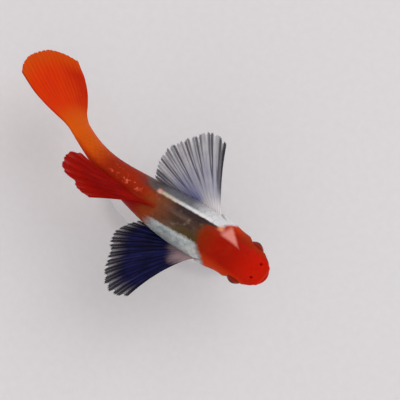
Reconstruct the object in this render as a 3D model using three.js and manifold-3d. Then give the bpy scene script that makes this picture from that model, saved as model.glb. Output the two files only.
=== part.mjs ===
// A fancy guppy of the koi kind at life size, swimming level with its tail swung to its left and rolled
// to its right, held by a small display stand. Millimetres, +Z up, +X towards the mouth along the trunk,
// +Y towards the fish's left. The origin is the middle of the underside of the stand's base.
import * as THREE from "three";
import { mergeVertices } from "three/addons/utils/BufferGeometryUtils.js";
import Module from "manifold-3d";

const wasm = await Module();
wasm.setup();

// Driving dimensions. Places along the body are shares of the standard length: 0 is the tip of the
// mouth, 1 is the root of the tail fin, and the tail fin lies past 1.
const STANDARD_LENGTH = 33.2;
const SPINE_HEIGHT = 15.5;
const ROD_STATION = 0.46;
const SEAM = 0.25;
const FIN_THICKNESS = 0.5;
const FIN_TIP_THICKNESS = 0.24;
const FIN_ROOT_THICKNESS = 0.95;
const RAY_HEIGHT = 0.13;

const degrees = THREE.MathUtils.degToRad;
const { clamp, lerp, smoothstep } = THREE.MathUtils;

// A smooth curve through [place, value] stations, with the slope at each one taken from its neighbours.
function curveThrough(stations) {
  const last = stations.length - 1;
  const slope = (i) => {
    const [x0, y0] = stations[Math.max(i - 1, 0)];
    const [x1, y1] = stations[Math.min(i + 1, last)];
    return (y1 - y0) / (x1 - x0);
  };
  return (place) => {
    const x = clamp(place, stations[0][0], stations[last][0]);
    let i = 0;
    while (i < last - 1 && x > stations[i + 1][0]) i += 1;
    const [x0, y0] = stations[i];
    const [x1, y1] = stations[i + 1];
    const span = x1 - x0;
    const t = (x - x0) / span;
    const chord = y1 - y0;
    const bend = (1 - t) * (slope(i) * span - chord) - t * (slope(i + 1) * span - chord);
    return lerp(y0, y1, t) + t * (1 - t) * bend;
  };
}

// The pose: how far the spine turns towards the fish's left, and how far the body rolls to its right.
const turn = curveThrough([[0, 9], [0.15, 6], [0.3, 1], [0.45, 1], [0.6, 6], [0.75, 11], [0.88, 21],
  [1, 29], [1.2, 36], [1.4, 38]]);
const roll = curveThrough([[0, 0], [0.3, 2], [0.5, 6], [0.7, 16], [0.9, 27], [1, 32], [1.2, 42], [1.4, 48]]);

// The body's plan and side view, measured from the spine.
const halfWidth = curveThrough([[0, 1.5], [0.06, 2.5], [0.12, 3.05], [0.22, 3.5], [0.38, 3.65], [0.5, 3.35],
  [0.65, 2.55], [0.8, 1.65], [0.92, 1], [1, 0.72], [1.1, 0.6]]);
const back = curveThrough([[0, 1.5], [0.1, 2.35], [0.22, 3.15], [0.42, 3.75], [0.6, 3.45], [0.75, 2.75],
  [0.9, 2.3], [1, 2.2], [1.1, 2.2]]);
const belly = curveThrough([[0, 0.5], [0.05, -1], [0.12, -2.5], [0.2, -3.6], [0.36, -4.5], [0.48, -4.4],
  [0.6, -3.4], [0.75, -2.6], [0.9, -2.3], [1, -2.2], [1.1, -2.2]]);
const widestLevel = curveThrough([[0, 1.1], [0.1, 0.3], [0.25, -0.5], [0.45, -0.8], [0.7, -0.2], [1.1, 0]]);
const shoulderSquareness = curveThrough([[0, 2.7], [0.25, 2.5], [0.5, 2.1], [1.1, 2]]);
const SNOUT_ROUND = 0.035;

// The spine, walked backwards from the mouth in short steps and set so that the rod's station is at X 0, Y 0.
const SPINE_STEP = 0.005;
const SPINE_END = 1.5;
// The snout ahead of the eyes is drawn out by this much.
const SNOUT_STRETCH = 0.35;
const SNOUT_STRETCH_FROM = 0.13;
const spine = [new THREE.Vector3()];
for (let u = 0; u < SPINE_END; u += SPINE_STEP) {
  const angle = degrees(turn(u + SPINE_STEP / 2));
  const step = new THREE.Vector3(-Math.cos(angle), Math.sin(angle), 0);
  spine.push(spine.at(-1).clone().addScaledVector(step, SPINE_STEP * STANDARD_LENGTH));
}
const rodPoint = spine[Math.round(ROD_STATION / SPINE_STEP)].clone();
for (const point of spine) point.sub(rodPoint);

// The body's own directions at a place on the spine: forwards, to its left, and up along its back.
function bodyFrame(u) {
  const step = clamp(u / SPINE_STEP, 0, spine.length - 2);
  const whole = Math.floor(step);
  const at = spine[whole].clone().lerp(spine[whole + 1], step - whole);
  const angle = degrees(turn(u));
  const lean = degrees(roll(u));
  const forward = new THREE.Vector3(Math.cos(angle), -Math.sin(angle), 0);
  const level = new THREE.Vector3(Math.sin(angle), Math.cos(angle), 0);
  const left = level.clone().multiplyScalar(Math.cos(lean)).setZ(Math.sin(lean));
  const up = level.clone().multiplyScalar(-Math.sin(lean)).setZ(Math.cos(lean));
  at.z = SPINE_HEIGHT;
  at.addScaledVector(forward, SNOUT_STRETCH * (1 - smoothstep(u, 0, SNOUT_STRETCH_FROM)));
  return { at, forward, left, up };
}

function bodyPoint(u, side, height) {
  const { at, left, up } = bodyFrame(u);
  return at.addScaledVector(left, side).addScaledVector(up, height);
}

// The eye's place and size.
const EYE_STATION = 0.098;
const EYE_SIDE = 2.02;
const EYE_HEIGHT = 0.45;
const EYE_RADIUS = 1.4;
const EYE_DEPTH = 1.32;
const ORBIT_RISE = 0.4;
const ORBIT_REACH = 1.7;

// The gill cover stands a little proud of the flank behind it.
const GILL_RISE = 0.24;
const GILL_RISE_FROM = 0.17;
const GILL_RISE_TO = 0.26;

// A point of the skin: u along the body, angle round it from the fish's left over its back. Grow moves the
// skin outwards, and the head's skin has the rims of the eyes and the gill covers on it.
function skin(u, angle, { grow = 0, head = false } = {}) {
  const rounding = 1 - Math.min(u / SNOUT_ROUND, 1);
  const snout = Math.sqrt(Math.max(1 - rounding ** 2, 0));
  const level = widestLevel(u);
  const across = Math.cos(angle);
  const over = Math.sin(angle);
  const reach = over > 0 ? back(u) - level : level - belly(u);
  const power = over > 0 ? 2 / shoulderSquareness(u) : 1;
  const flank = Math.sign(across) * Math.abs(across) ** power;
  let side = flank * (halfWidth(u) * snout + grow);
  const height = level + Math.sign(over) * Math.abs(over) ** power * (reach * snout + grow);
  if (head) {
    const along = (u - EYE_STATION) * STANDARD_LENGTH;
    const offset = Math.hypot(along, height - EYE_HEIGHT) / ORBIT_REACH;
    const lid = ORBIT_RISE * Math.exp(-(offset ** 2));
    const gill = GILL_RISE * smoothstep(u, GILL_RISE_FROM, GILL_RISE_TO);
    side += flank * (lid + gill);
  }
  return bodyPoint(u, side, height);
}

// A closed mesh as a solid with its faces out.
function solidFrom(positions, index) {
  const geometry = new THREE.BufferGeometry();
  geometry.setAttribute("position", new THREE.Float32BufferAttribute(positions, 3));
  geometry.setIndex(index);
  return solidOf(geometry);
}

function solidOf(geometry) {
  const bare = new THREE.BufferGeometry();
  bare.setAttribute("position", geometry.getAttribute("position"));
  bare.setIndex(geometry.index);
  const merged = mergeVertices(bare, 1e-4);
  const triangles = [];
  for (let i = 0; i < merged.index.count; i += 3) {
    const [a, b, c] = [0, 1, 2].map((k) => merged.index.getX(i + k));
    if (a !== b && b !== c && c !== a) triangles.push(a, b, c);
  }
  const vertProperties = merged.attributes.position.array;
  const made = (triVerts) => new wasm.Manifold(
    new wasm.Mesh({ numProp: 3, vertProperties, triVerts: new Uint32Array(triVerts) }),
  );
  const solid = made(triangles);
  return solid.volume() > 0 ? solid : made(triangles.reverse());
}

// What a cut or a union leaves, without the scraps.
function largest(solid) {
  return solid.decompose().reduce((best, piece) => (piece.volume() > best.volume() ? piece : best));
}

function meshOf(name, solid, look) {
  const { vertProperties, triVerts, numProp } = largest(solid).getMesh();
  const geometry = new THREE.BufferGeometry();
  const positions = new Float32Array((vertProperties.length / numProp) * 3);
  for (let i = 0; i < positions.length / 3; i += 1) {
    for (let k = 0; k < 3; k += 1) positions[i * 3 + k] = vertProperties[i * numProp + k];
  }
  geometry.setAttribute("position", new THREE.BufferAttribute(positions, 3));
  geometry.setIndex(new THREE.BufferAttribute(new Uint32Array(triVerts), 1));
  const mesh = new THREE.Mesh(geometry, new THREE.MeshStandardMaterial(look));
  mesh.name = name;
  return mesh;
}

// A length of the body between two places, closed at each end by a fan of triangles.
function bodyLength(from, to, rows, columns, options = {}) {
  const positions = [];
  const index = [];
  for (let i = 0; i <= rows; i += 1) {
    const u = lerp(from, to, (i / rows) ** (options.crowding ?? 1));
    for (let j = 0; j < columns; j += 1) {
      positions.push(...skin(u, (j / columns) * 2 * Math.PI, options));
    }
  }
  const id = (i, j) => i * columns + (j % columns);
  for (let i = 0; i < rows; i += 1) {
    for (let j = 0; j < columns; j += 1) {
      index.push(id(i, j), id(i + 1, j), id(i + 1, j + 1), id(i, j), id(i + 1, j + 1), id(i, j + 1));
    }
  }
  for (const [u, ring] of [[from, 0], [to, rows]]) {
    const middle = positions.length / 3;
    positions.push(...bodyPoint(u, 0, widestLevel(u)));
    for (let j = 0; j < columns; j += 1) {
      const edge = [id(ring, j), id(ring, j + 1)];
      if (ring > 0) edge.reverse();
      index.push(middle, ...edge);
    }
  }
  return solidFrom(positions, index);
}

// What is left of a solid behind, or in front of, a place on the spine.
function behind(solid, u, gap = 0) {
  const { at, forward } = bodyFrame(u);
  const normal = forward.negate();
  return solid.trimByPlane(normal.toArray(), at.dot(normal) + gap);
}

function before(solid, u, gap = 0) {
  const { at, forward } = bodyFrame(u);
  return solid.trimByPlane(forward.toArray(), at.dot(forward) + gap);
}

// The edge of the gill cover in side view, from above the nape to below the throat.
const GILL_EDGE = [[0.2, 5], [0.225, 2.6], [0.272, 1], [0.284, -0.9], [0.245, -2.8], [0.17, -5.4]];
const GILL_EDGE_STEPS = 18;
const HEAD_ROOM = 9;

// All that lies in front of the gill edge, as a thick slab across the fish. A gap moves its edge backwards.
function beforeGillEdge(gap) {
  const edge = new THREE.SplineCurve(GILL_EDGE.map(([u, height]) => {
    const { at } = bodyFrame(u);
    return new THREE.Vector2(at.x, at.z + height);
  }));
  const outline = edge.getPoints(GILL_EDGE_STEPS).map((point, i) => {
    const along = edge.getTangent(i / GILL_EDGE_STEPS);
    return point.add(new THREE.Vector2(along.y, -along.x).multiplyScalar(gap));
  });
  const front = bodyFrame(0).at.x + HEAD_ROOM;
  outline.push(new THREE.Vector2(front, outline.at(-1).y), new THREE.Vector2(front, outline[0].y));
  const slab = new THREE.ExtrudeGeometry(new THREE.Shape(outline), {
    depth: 2 * HEAD_ROOM,
    bevelEnabled: false,
  });
  slab.translate(0, 0, -HEAD_ROOM);
  slab.rotateX(Math.PI / 2);
  return solidOf(slab);
}

// A ball stretched along the fish's own directions at a place on its body.
function bodyBall(u, side, height, [long, wide, tall], segments) {
  const { forward, left, up } = bodyFrame(u);
  const ball = new THREE.SphereGeometry(1, segments, segments / 2);
  ball.scale(long, wide, tall);
  ball.applyMatrix4(new THREE.Matrix4().makeBasis(forward, left, up));
  ball.translate(...bodyPoint(u, side, height));
  return solidOf(ball);
}

const EYE_SEGMENTS = 16;
function eyeBall(side, gap) {
  const radius = EYE_RADIUS + gap;
  return bodyBall(EYE_STATION, side * EYE_SIDE, EYE_HEIGHT, [radius, EYE_DEPTH + gap, radius], EYE_SEGMENTS);
}

// The mouth is a broad upturned slit with a lip along each edge.
const MOUTH_HEIGHT = 1.25;
const MOUTH_SLOPE = degrees(38);
const MOUTH_DEPTH = 1.25;
const MOUTH_HALF_WIDTH = 1.55;
const MOUTH_SLIT = 0.24;
const LIP_RADIUS = 0.3;
const UPPER_LIP_AHEAD = -0.12;
const LOWER_LIP_AHEAD = -0.05;
const LIP_SIDES = 6;
const LIP_STEPS = 10;

// Moves a geometry from the mouth's own frame, X forwards in the plane of the slit, to the head.
function toMouth(geometry) {
  const { forward, left, up } = bodyFrame(0);
  geometry.rotateY(-MOUTH_SLOPE);
  geometry.applyMatrix4(new THREE.Matrix4().makeBasis(forward, left, up));
  geometry.translate(...bodyPoint(0, 0, MOUTH_HEIGHT));
  return solidOf(geometry);
}

function lip(rise, forwards) {
  const arc = [];
  for (let i = 0; i <= LIP_STEPS; i += 1) {
    const angle = lerp(-0.5, 0.5, i / LIP_STEPS) * Math.PI;
    const ahead = (Math.cos(angle) - 1) * MOUTH_DEPTH + forwards;
    arc.push(new THREE.Vector3(ahead, Math.sin(angle) * MOUTH_HALF_WIDTH, rise));
  }
  const section = new THREE.Shape();
  section.absarc(0, 0, LIP_RADIUS, 0, 2 * Math.PI);
  return toMouth(new THREE.ExtrudeGeometry(section, {
    extrudePath: new THREE.CatmullRomCurve3(arc),
    steps: LIP_STEPS,
    curveSegments: LIP_SIDES / 2,
  }));
}

function mouthSlit() {
  const width = 2 * (MOUTH_HALF_WIDTH + LIP_RADIUS);
  const slit = new THREE.BoxGeometry(2 * MOUTH_DEPTH, width, MOUTH_SLIT);
  slit.translate(-LIP_RADIUS, 0, 0);
  return toMouth(slit);
}

const NOSTRIL_STATION = 0.046;
const NOSTRIL_SIDE = 1.15;
const NOSTRIL_RADIUS = 0.2;
const NOSTRIL_SEGMENTS = 8;

function nostril(side) {
  const size = [NOSTRIL_RADIUS * 1.3, NOSTRIL_RADIUS, NOSTRIL_RADIUS * 2];
  const height = back(NOSTRIL_STATION) - NOSTRIL_RADIUS;
  return bodyBall(NOSTRIL_STATION, side * NOSTRIL_SIDE, height, size, NOSTRIL_SEGMENTS);
}

// A fin as one closed sheet. Its middle surface is given by r, from root to margin, and v, across the fan.
// Each ray is a ridge on both faces that forks half way out, and the membrane between two rays ends short.
const FORK_FROM = 0.42;
const FORK_TO = 0.62;
const FORK_NOTCH = 0.35;
const COLUMNS_PER_RAY = 4;
const ROOT_TO = 0.2;
const TIP_FROM = 0.75;
const RIDGE_FADE = 0.5;
const FRINGE_BEND = 5;
const NEARBY = 0.01;

function finThickness(r) {
  const root = lerp(FIN_ROOT_THICKNESS, FIN_THICKNESS, smoothstep(r, 0, ROOT_TO));
  return lerp(root, FIN_TIP_THICKNESS, smoothstep(r, TIP_FROM, 1));
}

// How high a ray stands at a column of the sheet, from 0 to 1, and how far the membrane draws back there.
function rayShape(column, r) {
  const place = column % COLUMNS_PER_RAY;
  const forked = smoothstep(r, FORK_FROM, FORK_TO);
  const height = [1 - forked, forked, 0, forked][place];
  const notch = [FORK_NOTCH * forked, 0, 1, 0][place];
  return { height, notch };
}

function fin({ rays, rows, surface, fringe = 0.05, ridge = RAY_HEIGHT, thickness = finThickness }) {
  const columns = COLUMNS_PER_RAY * (rays - 1);
  const positions = [];
  const index = [];
  for (const face of [1, -1]) {
    for (let i = 0; i <= rows; i += 1) {
      for (let j = 0; j <= columns; j += 1) {
        const { height, notch } = rayShape(j, i / rows);
        const r = (i / rows) * (1 - fringe * notch * (i / rows) ** FRINGE_BEND);
        const v = j / columns;
        const middle = surface(r, v);
        const outwards = surface(r + NEARBY, v).sub(surface(r - NEARBY, v));
        const across = surface(r, v + NEARBY).sub(surface(r, v - NEARBY));
        const normal = outwards.cross(across).normalize();
        const proud = thickness(r, v) / 2 + ridge * height * (1 - RIDGE_FADE * r);
        positions.push(...middle.addScaledVector(normal, face * proud));
      }
    }
  }
  const id = (i, j, face) => ((face > 0 ? 0 : 1) * (rows + 1) + i) * (columns + 1) + j;
  for (let i = 0; i < rows; i += 1) {
    for (let j = 0; j < columns; j += 1) {
      const [a, b, c, d] = [id(i, j, 1), id(i + 1, j, 1), id(i + 1, j + 1, 1), id(i, j + 1, 1)];
      const under = (rows + 1) * (columns + 1);
      index.push(a, b, c, a, c, d);
      index.push(a + under, c + under, b + under, a + under, d + under, c + under);
    }
  }
  const rim = [];
  for (let j = 0; j < columns; j += 1) rim.push([0, j]);
  for (let i = 0; i < rows; i += 1) rim.push([i, columns]);
  for (let j = columns; j > 0; j -= 1) rim.push([rows, j]);
  for (let i = rows; i > 0; i -= 1) rim.push([i, 0]);
  rim.forEach(([i, j], k) => {
    const [next, along] = rim[(k + 1) % rim.length];
    const edge = [id(i, j, 1), id(next, along, 1), id(next, along, -1), id(i, j, -1)];
    index.push(edge[0], edge[1], edge[2], edge[0], edge[2], edge[3]);
  });
  return solidFrom(positions, index);
}

// The big pectoral fins: fans set low behind the gill covers, spread outwards and back.
const PECTORAL = {
  station: 0.3,
  height: -0.7,
  rootDepth: 1.0,
  rootChord: 2.6,
  chordBack: 0.75,
  chordDown: 0.65,
  rays: 13,
  rows: 8,
  rearAngle: 3,
  rearLift: 6,
  cup: 0.5,
};
const LEFT_PECTORAL = {
  side: 1,
  dihedral: 28,
  frontAngle: 70,
  bow: 0.1,
  lengthAt: curveThrough([[0, 10.6], [0.075, 11.6], [0.2, 12.1], [0.4, 11.5], [0.62, 11.3], [0.83, 10.4], [1, 9.3]]),
};
const RIGHT_PECTORAL = {
  side: -1,
  dihedral: 5,
  frontAngle: 66,
  bow: 0.22,
  lengthAt: curveThrough([[0, 10.7], [0.11, 12.1], [0.21, 12.6], [0.31, 12.4], [0.45, 11.5], [0.6, 11.1],
    [0.75, 10.8], [0.88, 9.5], [1, 8]]),
};

function pectoralSurface({ side, dihedral, frontAngle, bow, lengthAt }) {
  const { at, forward, left, up } = bodyFrame(PECTORAL.station);
  const root = at
    .addScaledVector(left, side * (halfWidth(PECTORAL.station) - PECTORAL.rootDepth))
    .addScaledVector(up, PECTORAL.height);
  const chord = forward.clone().multiplyScalar(-PECTORAL.chordBack)
    .addScaledVector(up, -PECTORAL.chordDown)
    .normalize();
  return (r, v) => {
    const spread = lerp(frontAngle, PECTORAL.rearAngle, v);
    const fan = degrees(spread * (1 - bow * (1 - r)));
    const tilt = degrees(dihedral);
    const way = forward.clone().multiplyScalar(-Math.cos(fan))
      .addScaledVector(left, side * Math.sin(fan) * Math.cos(tilt))
      .addScaledVector(up, Math.sin(fan) * Math.sin(tilt) + Math.sin(degrees(PECTORAL.rearLift)) * Math.cos(fan));
    const dome = PECTORAL.cup * Math.sin(Math.PI * clamp(v, 0, 1)) * r;
    return root.clone()
      .addScaledVector(chord, PECTORAL.rootChord * (v - 0.5) * (1 - r))
      .addScaledVector(way.normalize(), r * (lengthAt(v) + PECTORAL.rootDepth))
      .addScaledVector(up, dome);
  };
}

// The dorsal fin: a long soft fan that trails back and falls over to the fish's right.
const DORSAL = {
  from: 0.5,
  to: 0.62,
  rootDepth: 0.8,
  rays: 8,
  rows: 9,
  rootLean: 7,
  frontTipLean: 45,
  rearTipLean: 20,
  curl: 1.3,
  frontLift: 0.9,
  rearLift: 0.6,
  liftedBy: 0.25,
};
const dorsalRise = curveThrough([[0, 24], [0.2, 23], [0.5, 20], [0.75, 12], [1, 2]]);
const dorsalLength = curveThrough([[0, 9.4], [0.2, 10.4], [0.5, 11.1], [0.75, 10.7], [1, 9]]);

function dorsalSurface(r, v) {
  const rise = degrees(dorsalRise(v));
  const length = dorsalLength(v) * r;
  const u = lerp(DORSAL.from, DORSAL.to, v) + (length * Math.cos(rise)) / STANDARD_LENGTH;
  const height = dorsalLength(v) * Math.sin(rise) * Math.max(r, 0) ** DORSAL.curl - DORSAL.rootDepth * (1 - r);
  const lean = degrees(lerp(DORSAL.rootLean, lerp(DORSAL.frontTipLean, DORSAL.rearTipLean, v), r));
  const clear = lerp(DORSAL.frontLift, DORSAL.rearLift, v) * smoothstep(r, 0, DORSAL.liftedBy);
  return bodyPoint(u, -(height + clear) * Math.sin(lean), back(u) + (height + clear) * Math.cos(lean));
}

// The tail fin: a rounded fan past the end of the spine, with its upper lobe longer.
const CAUDAL = { rootDepth: 0.8, rootThickness: 1.4, edgeThickness: 0.3, lensTo: 0.35, rays: 15, rows: 9 };
const caudalLength = curveThrough([[-1, 10.1], [-0.64, 11.4], [-0.3, 12.2], [0, 12.5], [0.5, 12.1], [0.8, 11.1],
  [1, 9.8]]);
const caudalUpper = curveThrough([[-1, 2.15], [0, 2.15], [1.5, 2.45], [3.3, 3.4], [4.7, 4.15], [6.8, 5],
  [10, 5.6], [12, 5.8]]);
const caudalLower = curveThrough([[-1, 2.15], [0, 2.15], [1.8, 2.75], [3.3, 3.8], [5.2, 4.75], [7.5, 5.2], [9, 5.1],
  [12, 5]]);

function caudalSurface(r, v) {
  const across = 1 - 2 * v;
  const length = (caudalLength(across) + CAUDAL.rootDepth) * r - CAUDAL.rootDepth;
  const lobe = across > 0 ? caudalUpper : caudalLower;
  return bodyPoint(1 + length / STANDARD_LENGTH, 0, across * lobe(length));
}

// The root of the tail fin has the lens-shaped section of the stem that it grows from.
function caudalThickness(r, v) {
  const lens = Math.sqrt(Math.max(1 - (1 - 2 * v) ** 2, 0));
  const root = Math.max(CAUDAL.rootThickness * lens, CAUDAL.edgeThickness);
  return lerp(root, finThickness(Math.max(r, ROOT_TO)), smoothstep(r, 0, CAUDAL.lensTo));
}

// The small pelvic fins under the belly.
const PELVIC = {
  station: 0.375,
  side: 0.8,
  rootDepth: 0.5,
  length: 3.8,
  chord: 1,
  spread: 26,
  outwards: 20,
  down: 17,
  drop: 1,
  droppedBy: 0.25,
  roundness: 0.25,
  rays: 5,
  rows: 5,
};

function pelvicSurface(side) {
  const { at, forward, left, up } = bodyFrame(PELVIC.station);
  const root = at
    .addScaledVector(left, side * PELVIC.side)
    .addScaledVector(up, belly(PELVIC.station) + PELVIC.rootDepth);
  return (r, v) => {
    const outwards = degrees(PELVIC.outwards + PELVIC.spread * (0.5 - v));
    const way = forward.clone().multiplyScalar(-Math.cos(outwards))
      .addScaledVector(left, side * Math.sin(outwards))
      .addScaledVector(up, -Math.sin(degrees(PELVIC.down)));
    const length = (PELVIC.length + PELVIC.rootDepth) * (1 - PELVIC.roundness * (2 * v - 1) ** 2);
    return root.clone()
      .addScaledVector(forward, PELVIC.chord * (0.5 - v) * (1 - r))
      .addScaledVector(way.normalize(), r * length)
      .addScaledVector(up, -PELVIC.drop * Math.min(r, PELVIC.droppedBy));
  };
}

// The male's anal fin: a slender rod of fused rays folded back along the rising belly. It is deeper than wide.
const ANAL = {
  station: 0.515,
  below: 0.2,
  rootDepth: 0.6,
  length: 5.4,
  rise: 12,
  rootRadius: 0.5,
  tipRadius: 0.27,
  wide: 0.8,
  deep: 1.25,
  tipFrom: 0.2,
  tipBluntness: 6,
};
const ANAL_STEPS = 10;
const ANAL_SIDES = 10;

function analFin() {
  const profile = [new THREE.Vector2(0, -ANAL.rootDepth)];
  for (let i = 0; i <= ANAL_STEPS; i += 1) {
    const t = i / ANAL_STEPS;
    const tip = Math.max((t - ANAL.tipFrom) / (1 - ANAL.tipFrom), 0);
    const radius = lerp(ANAL.rootRadius, ANAL.tipRadius, t) * Math.sqrt(1 - tip ** ANAL.tipBluntness);
    profile.push(new THREE.Vector2(i < ANAL_STEPS ? radius : 0, lerp(-ANAL.rootDepth, ANAL.length, t)));
  }
  const rod = new THREE.LatheGeometry(profile, ANAL_SIDES);
  rod.scale(ANAL.wide, 1, ANAL.deep);
  const { forward, left, up } = bodyFrame(ANAL.station);
  rod.rotateX(degrees(ANAL.rise));
  rod.applyMatrix4(new THREE.Matrix4().makeBasis(left.clone().negate(), forward.negate(), up));
  rod.translate(...bodyPoint(ANAL.station, 0, belly(ANAL.station) - ANAL.below));
  return solidOf(rod);
}

// The stand: an oval plinth with a raised collar, and a rod from a blind hole in it up to the belly.
const BASE = {
  length: 23,
  width: 8.8,
  height: 2.4,
  bevel: 0.5,
  bevelSteps: 3,
  collarRadius: 1.9,
  collarTopRadius: 1.52,
  collarHeight: 1,
};
const ROD = { radius: 0.75, socketDepth: 2.2, sides: 24 };
const ROUND_SEGMENTS = 40;

function upright(radiusBottom, radiusTop, from, to) {
  const column = new THREE.CylinderGeometry(radiusTop, radiusBottom, to - from, ROD.sides);
  column.rotateX(Math.PI / 2);
  column.translate(0, 0, (from + to) / 2);
  return solidOf(column);
}

function standBase() {
  const outline = new THREE.Shape();
  const inset = BASE.bevel;
  outline.absellipse(0, 0, BASE.length / 2 - inset, BASE.width / 2 - inset, 0, 2 * Math.PI);
  const plinth = new THREE.ExtrudeGeometry(outline, {
    depth: BASE.height - BASE.bevel,
    bevelThickness: BASE.bevel,
    bevelSize: BASE.bevel,
    bevelSegments: BASE.bevelSteps,
    curveSegments: ROUND_SEGMENTS / 2,
  });
  const foot = solidOf(plinth).trimByPlane([0, 0, 1], 0);
  const top = BASE.height + BASE.collarHeight;
  const collar = upright(BASE.collarRadius, BASE.collarTopRadius, BASE.height - BASE.bevel, top);
  const hole = upright(ROD.radius + SEAM, ROD.radius + SEAM, top - ROD.socketDepth - SEAM, top + 1);
  return foot.add(collar).subtract(hole);
}

function standRod() {
  const foot = BASE.height + BASE.collarHeight - ROD.socketDepth;
  return upright(ROD.radius, ROD.radius, foot, SPINE_HEIGHT);
}

// Each length of the body is made a little too long, as [from, to, rows], and is then cut where it is divided.
const STEM_STATION = 0.665;
const BODY_COLUMNS = 26;
const HEAD_ROWS = [0.0006, 0.31, 17];
const TRUNK_ROWS = [0.13, 0.72, 15];
const STEM_ROWS = [0.6, 1.06, 14];
const CLEARANCE_ROWS = [0.13, 1, 26];

const head = bodyLength(...HEAD_ROWS, BODY_COLUMNS, { head: true, crowding: 1.35 })
  .intersect(beforeGillEdge(0))
  .add(lip(LIP_RADIUS * 0.8, UPPER_LIP_AHEAD))
  .add(lip(-LIP_RADIUS * 0.8, LOWER_LIP_AHEAD))
  .subtract(mouthSlit())
  .subtract(nostril(1))
  .subtract(nostril(-1))
  .subtract(eyeBall(1, SEAM))
  .subtract(eyeBall(-1, SEAM));
const trunk = before(bodyLength(...TRUNK_ROWS, BODY_COLUMNS), STEM_STATION).subtract(beforeGillEdge(SEAM));
const tailStem = before(behind(bodyLength(...STEM_ROWS, BODY_COLUMNS), STEM_STATION, SEAM), 1);

// The body with the gap round it, which cuts the roots of the fins and the top of the rod to the skin.
const clearance = bodyLength(...CLEARANCE_ROWS, BODY_COLUMNS, { grow: SEAM });

function fromSkin(solid) {
  return solid.subtract(clearance);
}

const pectoral = (pose) => fin({ ...PECTORAL, surface: pectoralSurface(pose) });
const dorsal = fin({ ...DORSAL, surface: dorsalSurface });
const caudal = fin({ ...CAUDAL, surface: caudalSurface, thickness: caudalThickness, fringe: 0.03 });
const pelvic = (side) => fin({ ...PELVIC, surface: pelvicSurface(side), fringe: 0.03 });

const RED_SKIN = { color: 0xb02408, roughness: 0.35, metalness: 0 };
const DARK_SKIN = { color: 0x574542, roughness: 0.4, metalness: 0.1 };
const ORANGE_SKIN = { color: 0xcf5510, roughness: 0.4, metalness: 0 };
const DARK_RED_FIN = { color: 0x960f05, roughness: 0.45, metalness: 0 };
const ORANGE_FIN = { color: 0xcd400a, roughness: 0.45, metalness: 0 };
const PALE_FIN = { color: 0x9a98a6, roughness: 0.45, metalness: 0 };
const NAVY_FIN = { color: 0x15143a, roughness: 0.45, metalness: 0 };
const CLEAR_FIN = { color: 0xb4a7a5, roughness: 0.45, metalness: 0 };
const EYE_GLOSS = { color: 0x16120f, roughness: 0.08, metalness: 0 };
const WHITE_PAINT = { color: 0xd9d7d6, roughness: 0.5, metalness: 0 };
const STEEL = { color: 0xc9c9cb, roughness: 0.3, metalness: 1 };

const guppy = new THREE.Group();
guppy.add(
  meshOf("head", head, RED_SKIN),
  meshOf("eye_left", eyeBall(1, 0), EYE_GLOSS),
  meshOf("eye_right", eyeBall(-1, 0), EYE_GLOSS),
  meshOf("trunk", trunk, DARK_SKIN),
  meshOf("tail_stem", tailStem, ORANGE_SKIN),
  meshOf("pectoral_fin_left", fromSkin(pectoral(LEFT_PECTORAL)), PALE_FIN),
  meshOf("pectoral_fin_right", fromSkin(pectoral(RIGHT_PECTORAL)), NAVY_FIN),
  meshOf("dorsal_fin", fromSkin(dorsal), DARK_RED_FIN),
  meshOf("caudal_fin", behind(caudal, 1, SEAM), ORANGE_FIN),
  meshOf("pelvic_fin_left", fromSkin(pelvic(1)), CLEAR_FIN),
  meshOf("pelvic_fin_right", fromSkin(pelvic(-1)), CLEAR_FIN),
  meshOf("anal_fin", fromSkin(analFin()), CLEAR_FIN),
  meshOf("stand_base", standBase(), WHITE_PAINT),
  meshOf("stand_rod", fromSkin(standRod()), STEEL),
);

export default guppy;
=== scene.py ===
# %% [markdown]
# # A fancy guppy on its display stand
# This lesson models a small aquarium fish from above: a koi kind of guppy with very large pectoral
# fins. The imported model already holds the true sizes. It is loaded first, as a frame, and
# every piece that is made here is then set against it.

# %% Load the frame
import math
from types import SimpleNamespace

import bmesh
import bpy
import numpy as np
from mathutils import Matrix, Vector


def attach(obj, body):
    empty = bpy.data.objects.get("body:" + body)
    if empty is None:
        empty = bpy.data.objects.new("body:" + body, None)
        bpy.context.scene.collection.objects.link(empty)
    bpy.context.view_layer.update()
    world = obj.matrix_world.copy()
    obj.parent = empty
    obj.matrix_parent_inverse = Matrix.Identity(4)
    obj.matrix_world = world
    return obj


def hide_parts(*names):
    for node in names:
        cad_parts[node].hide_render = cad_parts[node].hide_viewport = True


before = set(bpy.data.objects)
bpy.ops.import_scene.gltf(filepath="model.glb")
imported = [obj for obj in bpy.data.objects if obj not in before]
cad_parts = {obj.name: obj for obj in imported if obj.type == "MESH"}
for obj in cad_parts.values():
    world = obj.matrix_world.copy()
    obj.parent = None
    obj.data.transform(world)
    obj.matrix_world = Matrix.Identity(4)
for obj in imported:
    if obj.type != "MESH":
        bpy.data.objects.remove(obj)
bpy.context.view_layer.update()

# %% [markdown]
# ## The camera
# The fish is seen from almost straight above, with its head to the lower right. A long lens some
# way off gives the flat look of such a picture. The angle is kept as two numbers, so that the
# view can be worked out rather than dragged into place. The lamps are set up by the same rule.

# %% Camera
MM = 0.001
VIEW_TARGET = Vector((2.2, 3.8, 15.5)) * MM
VIEW_AZIMUTH = 30.7
VIEW_ELEVATION = 85
VIEW_DISTANCE = 155.6 * MM


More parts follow.
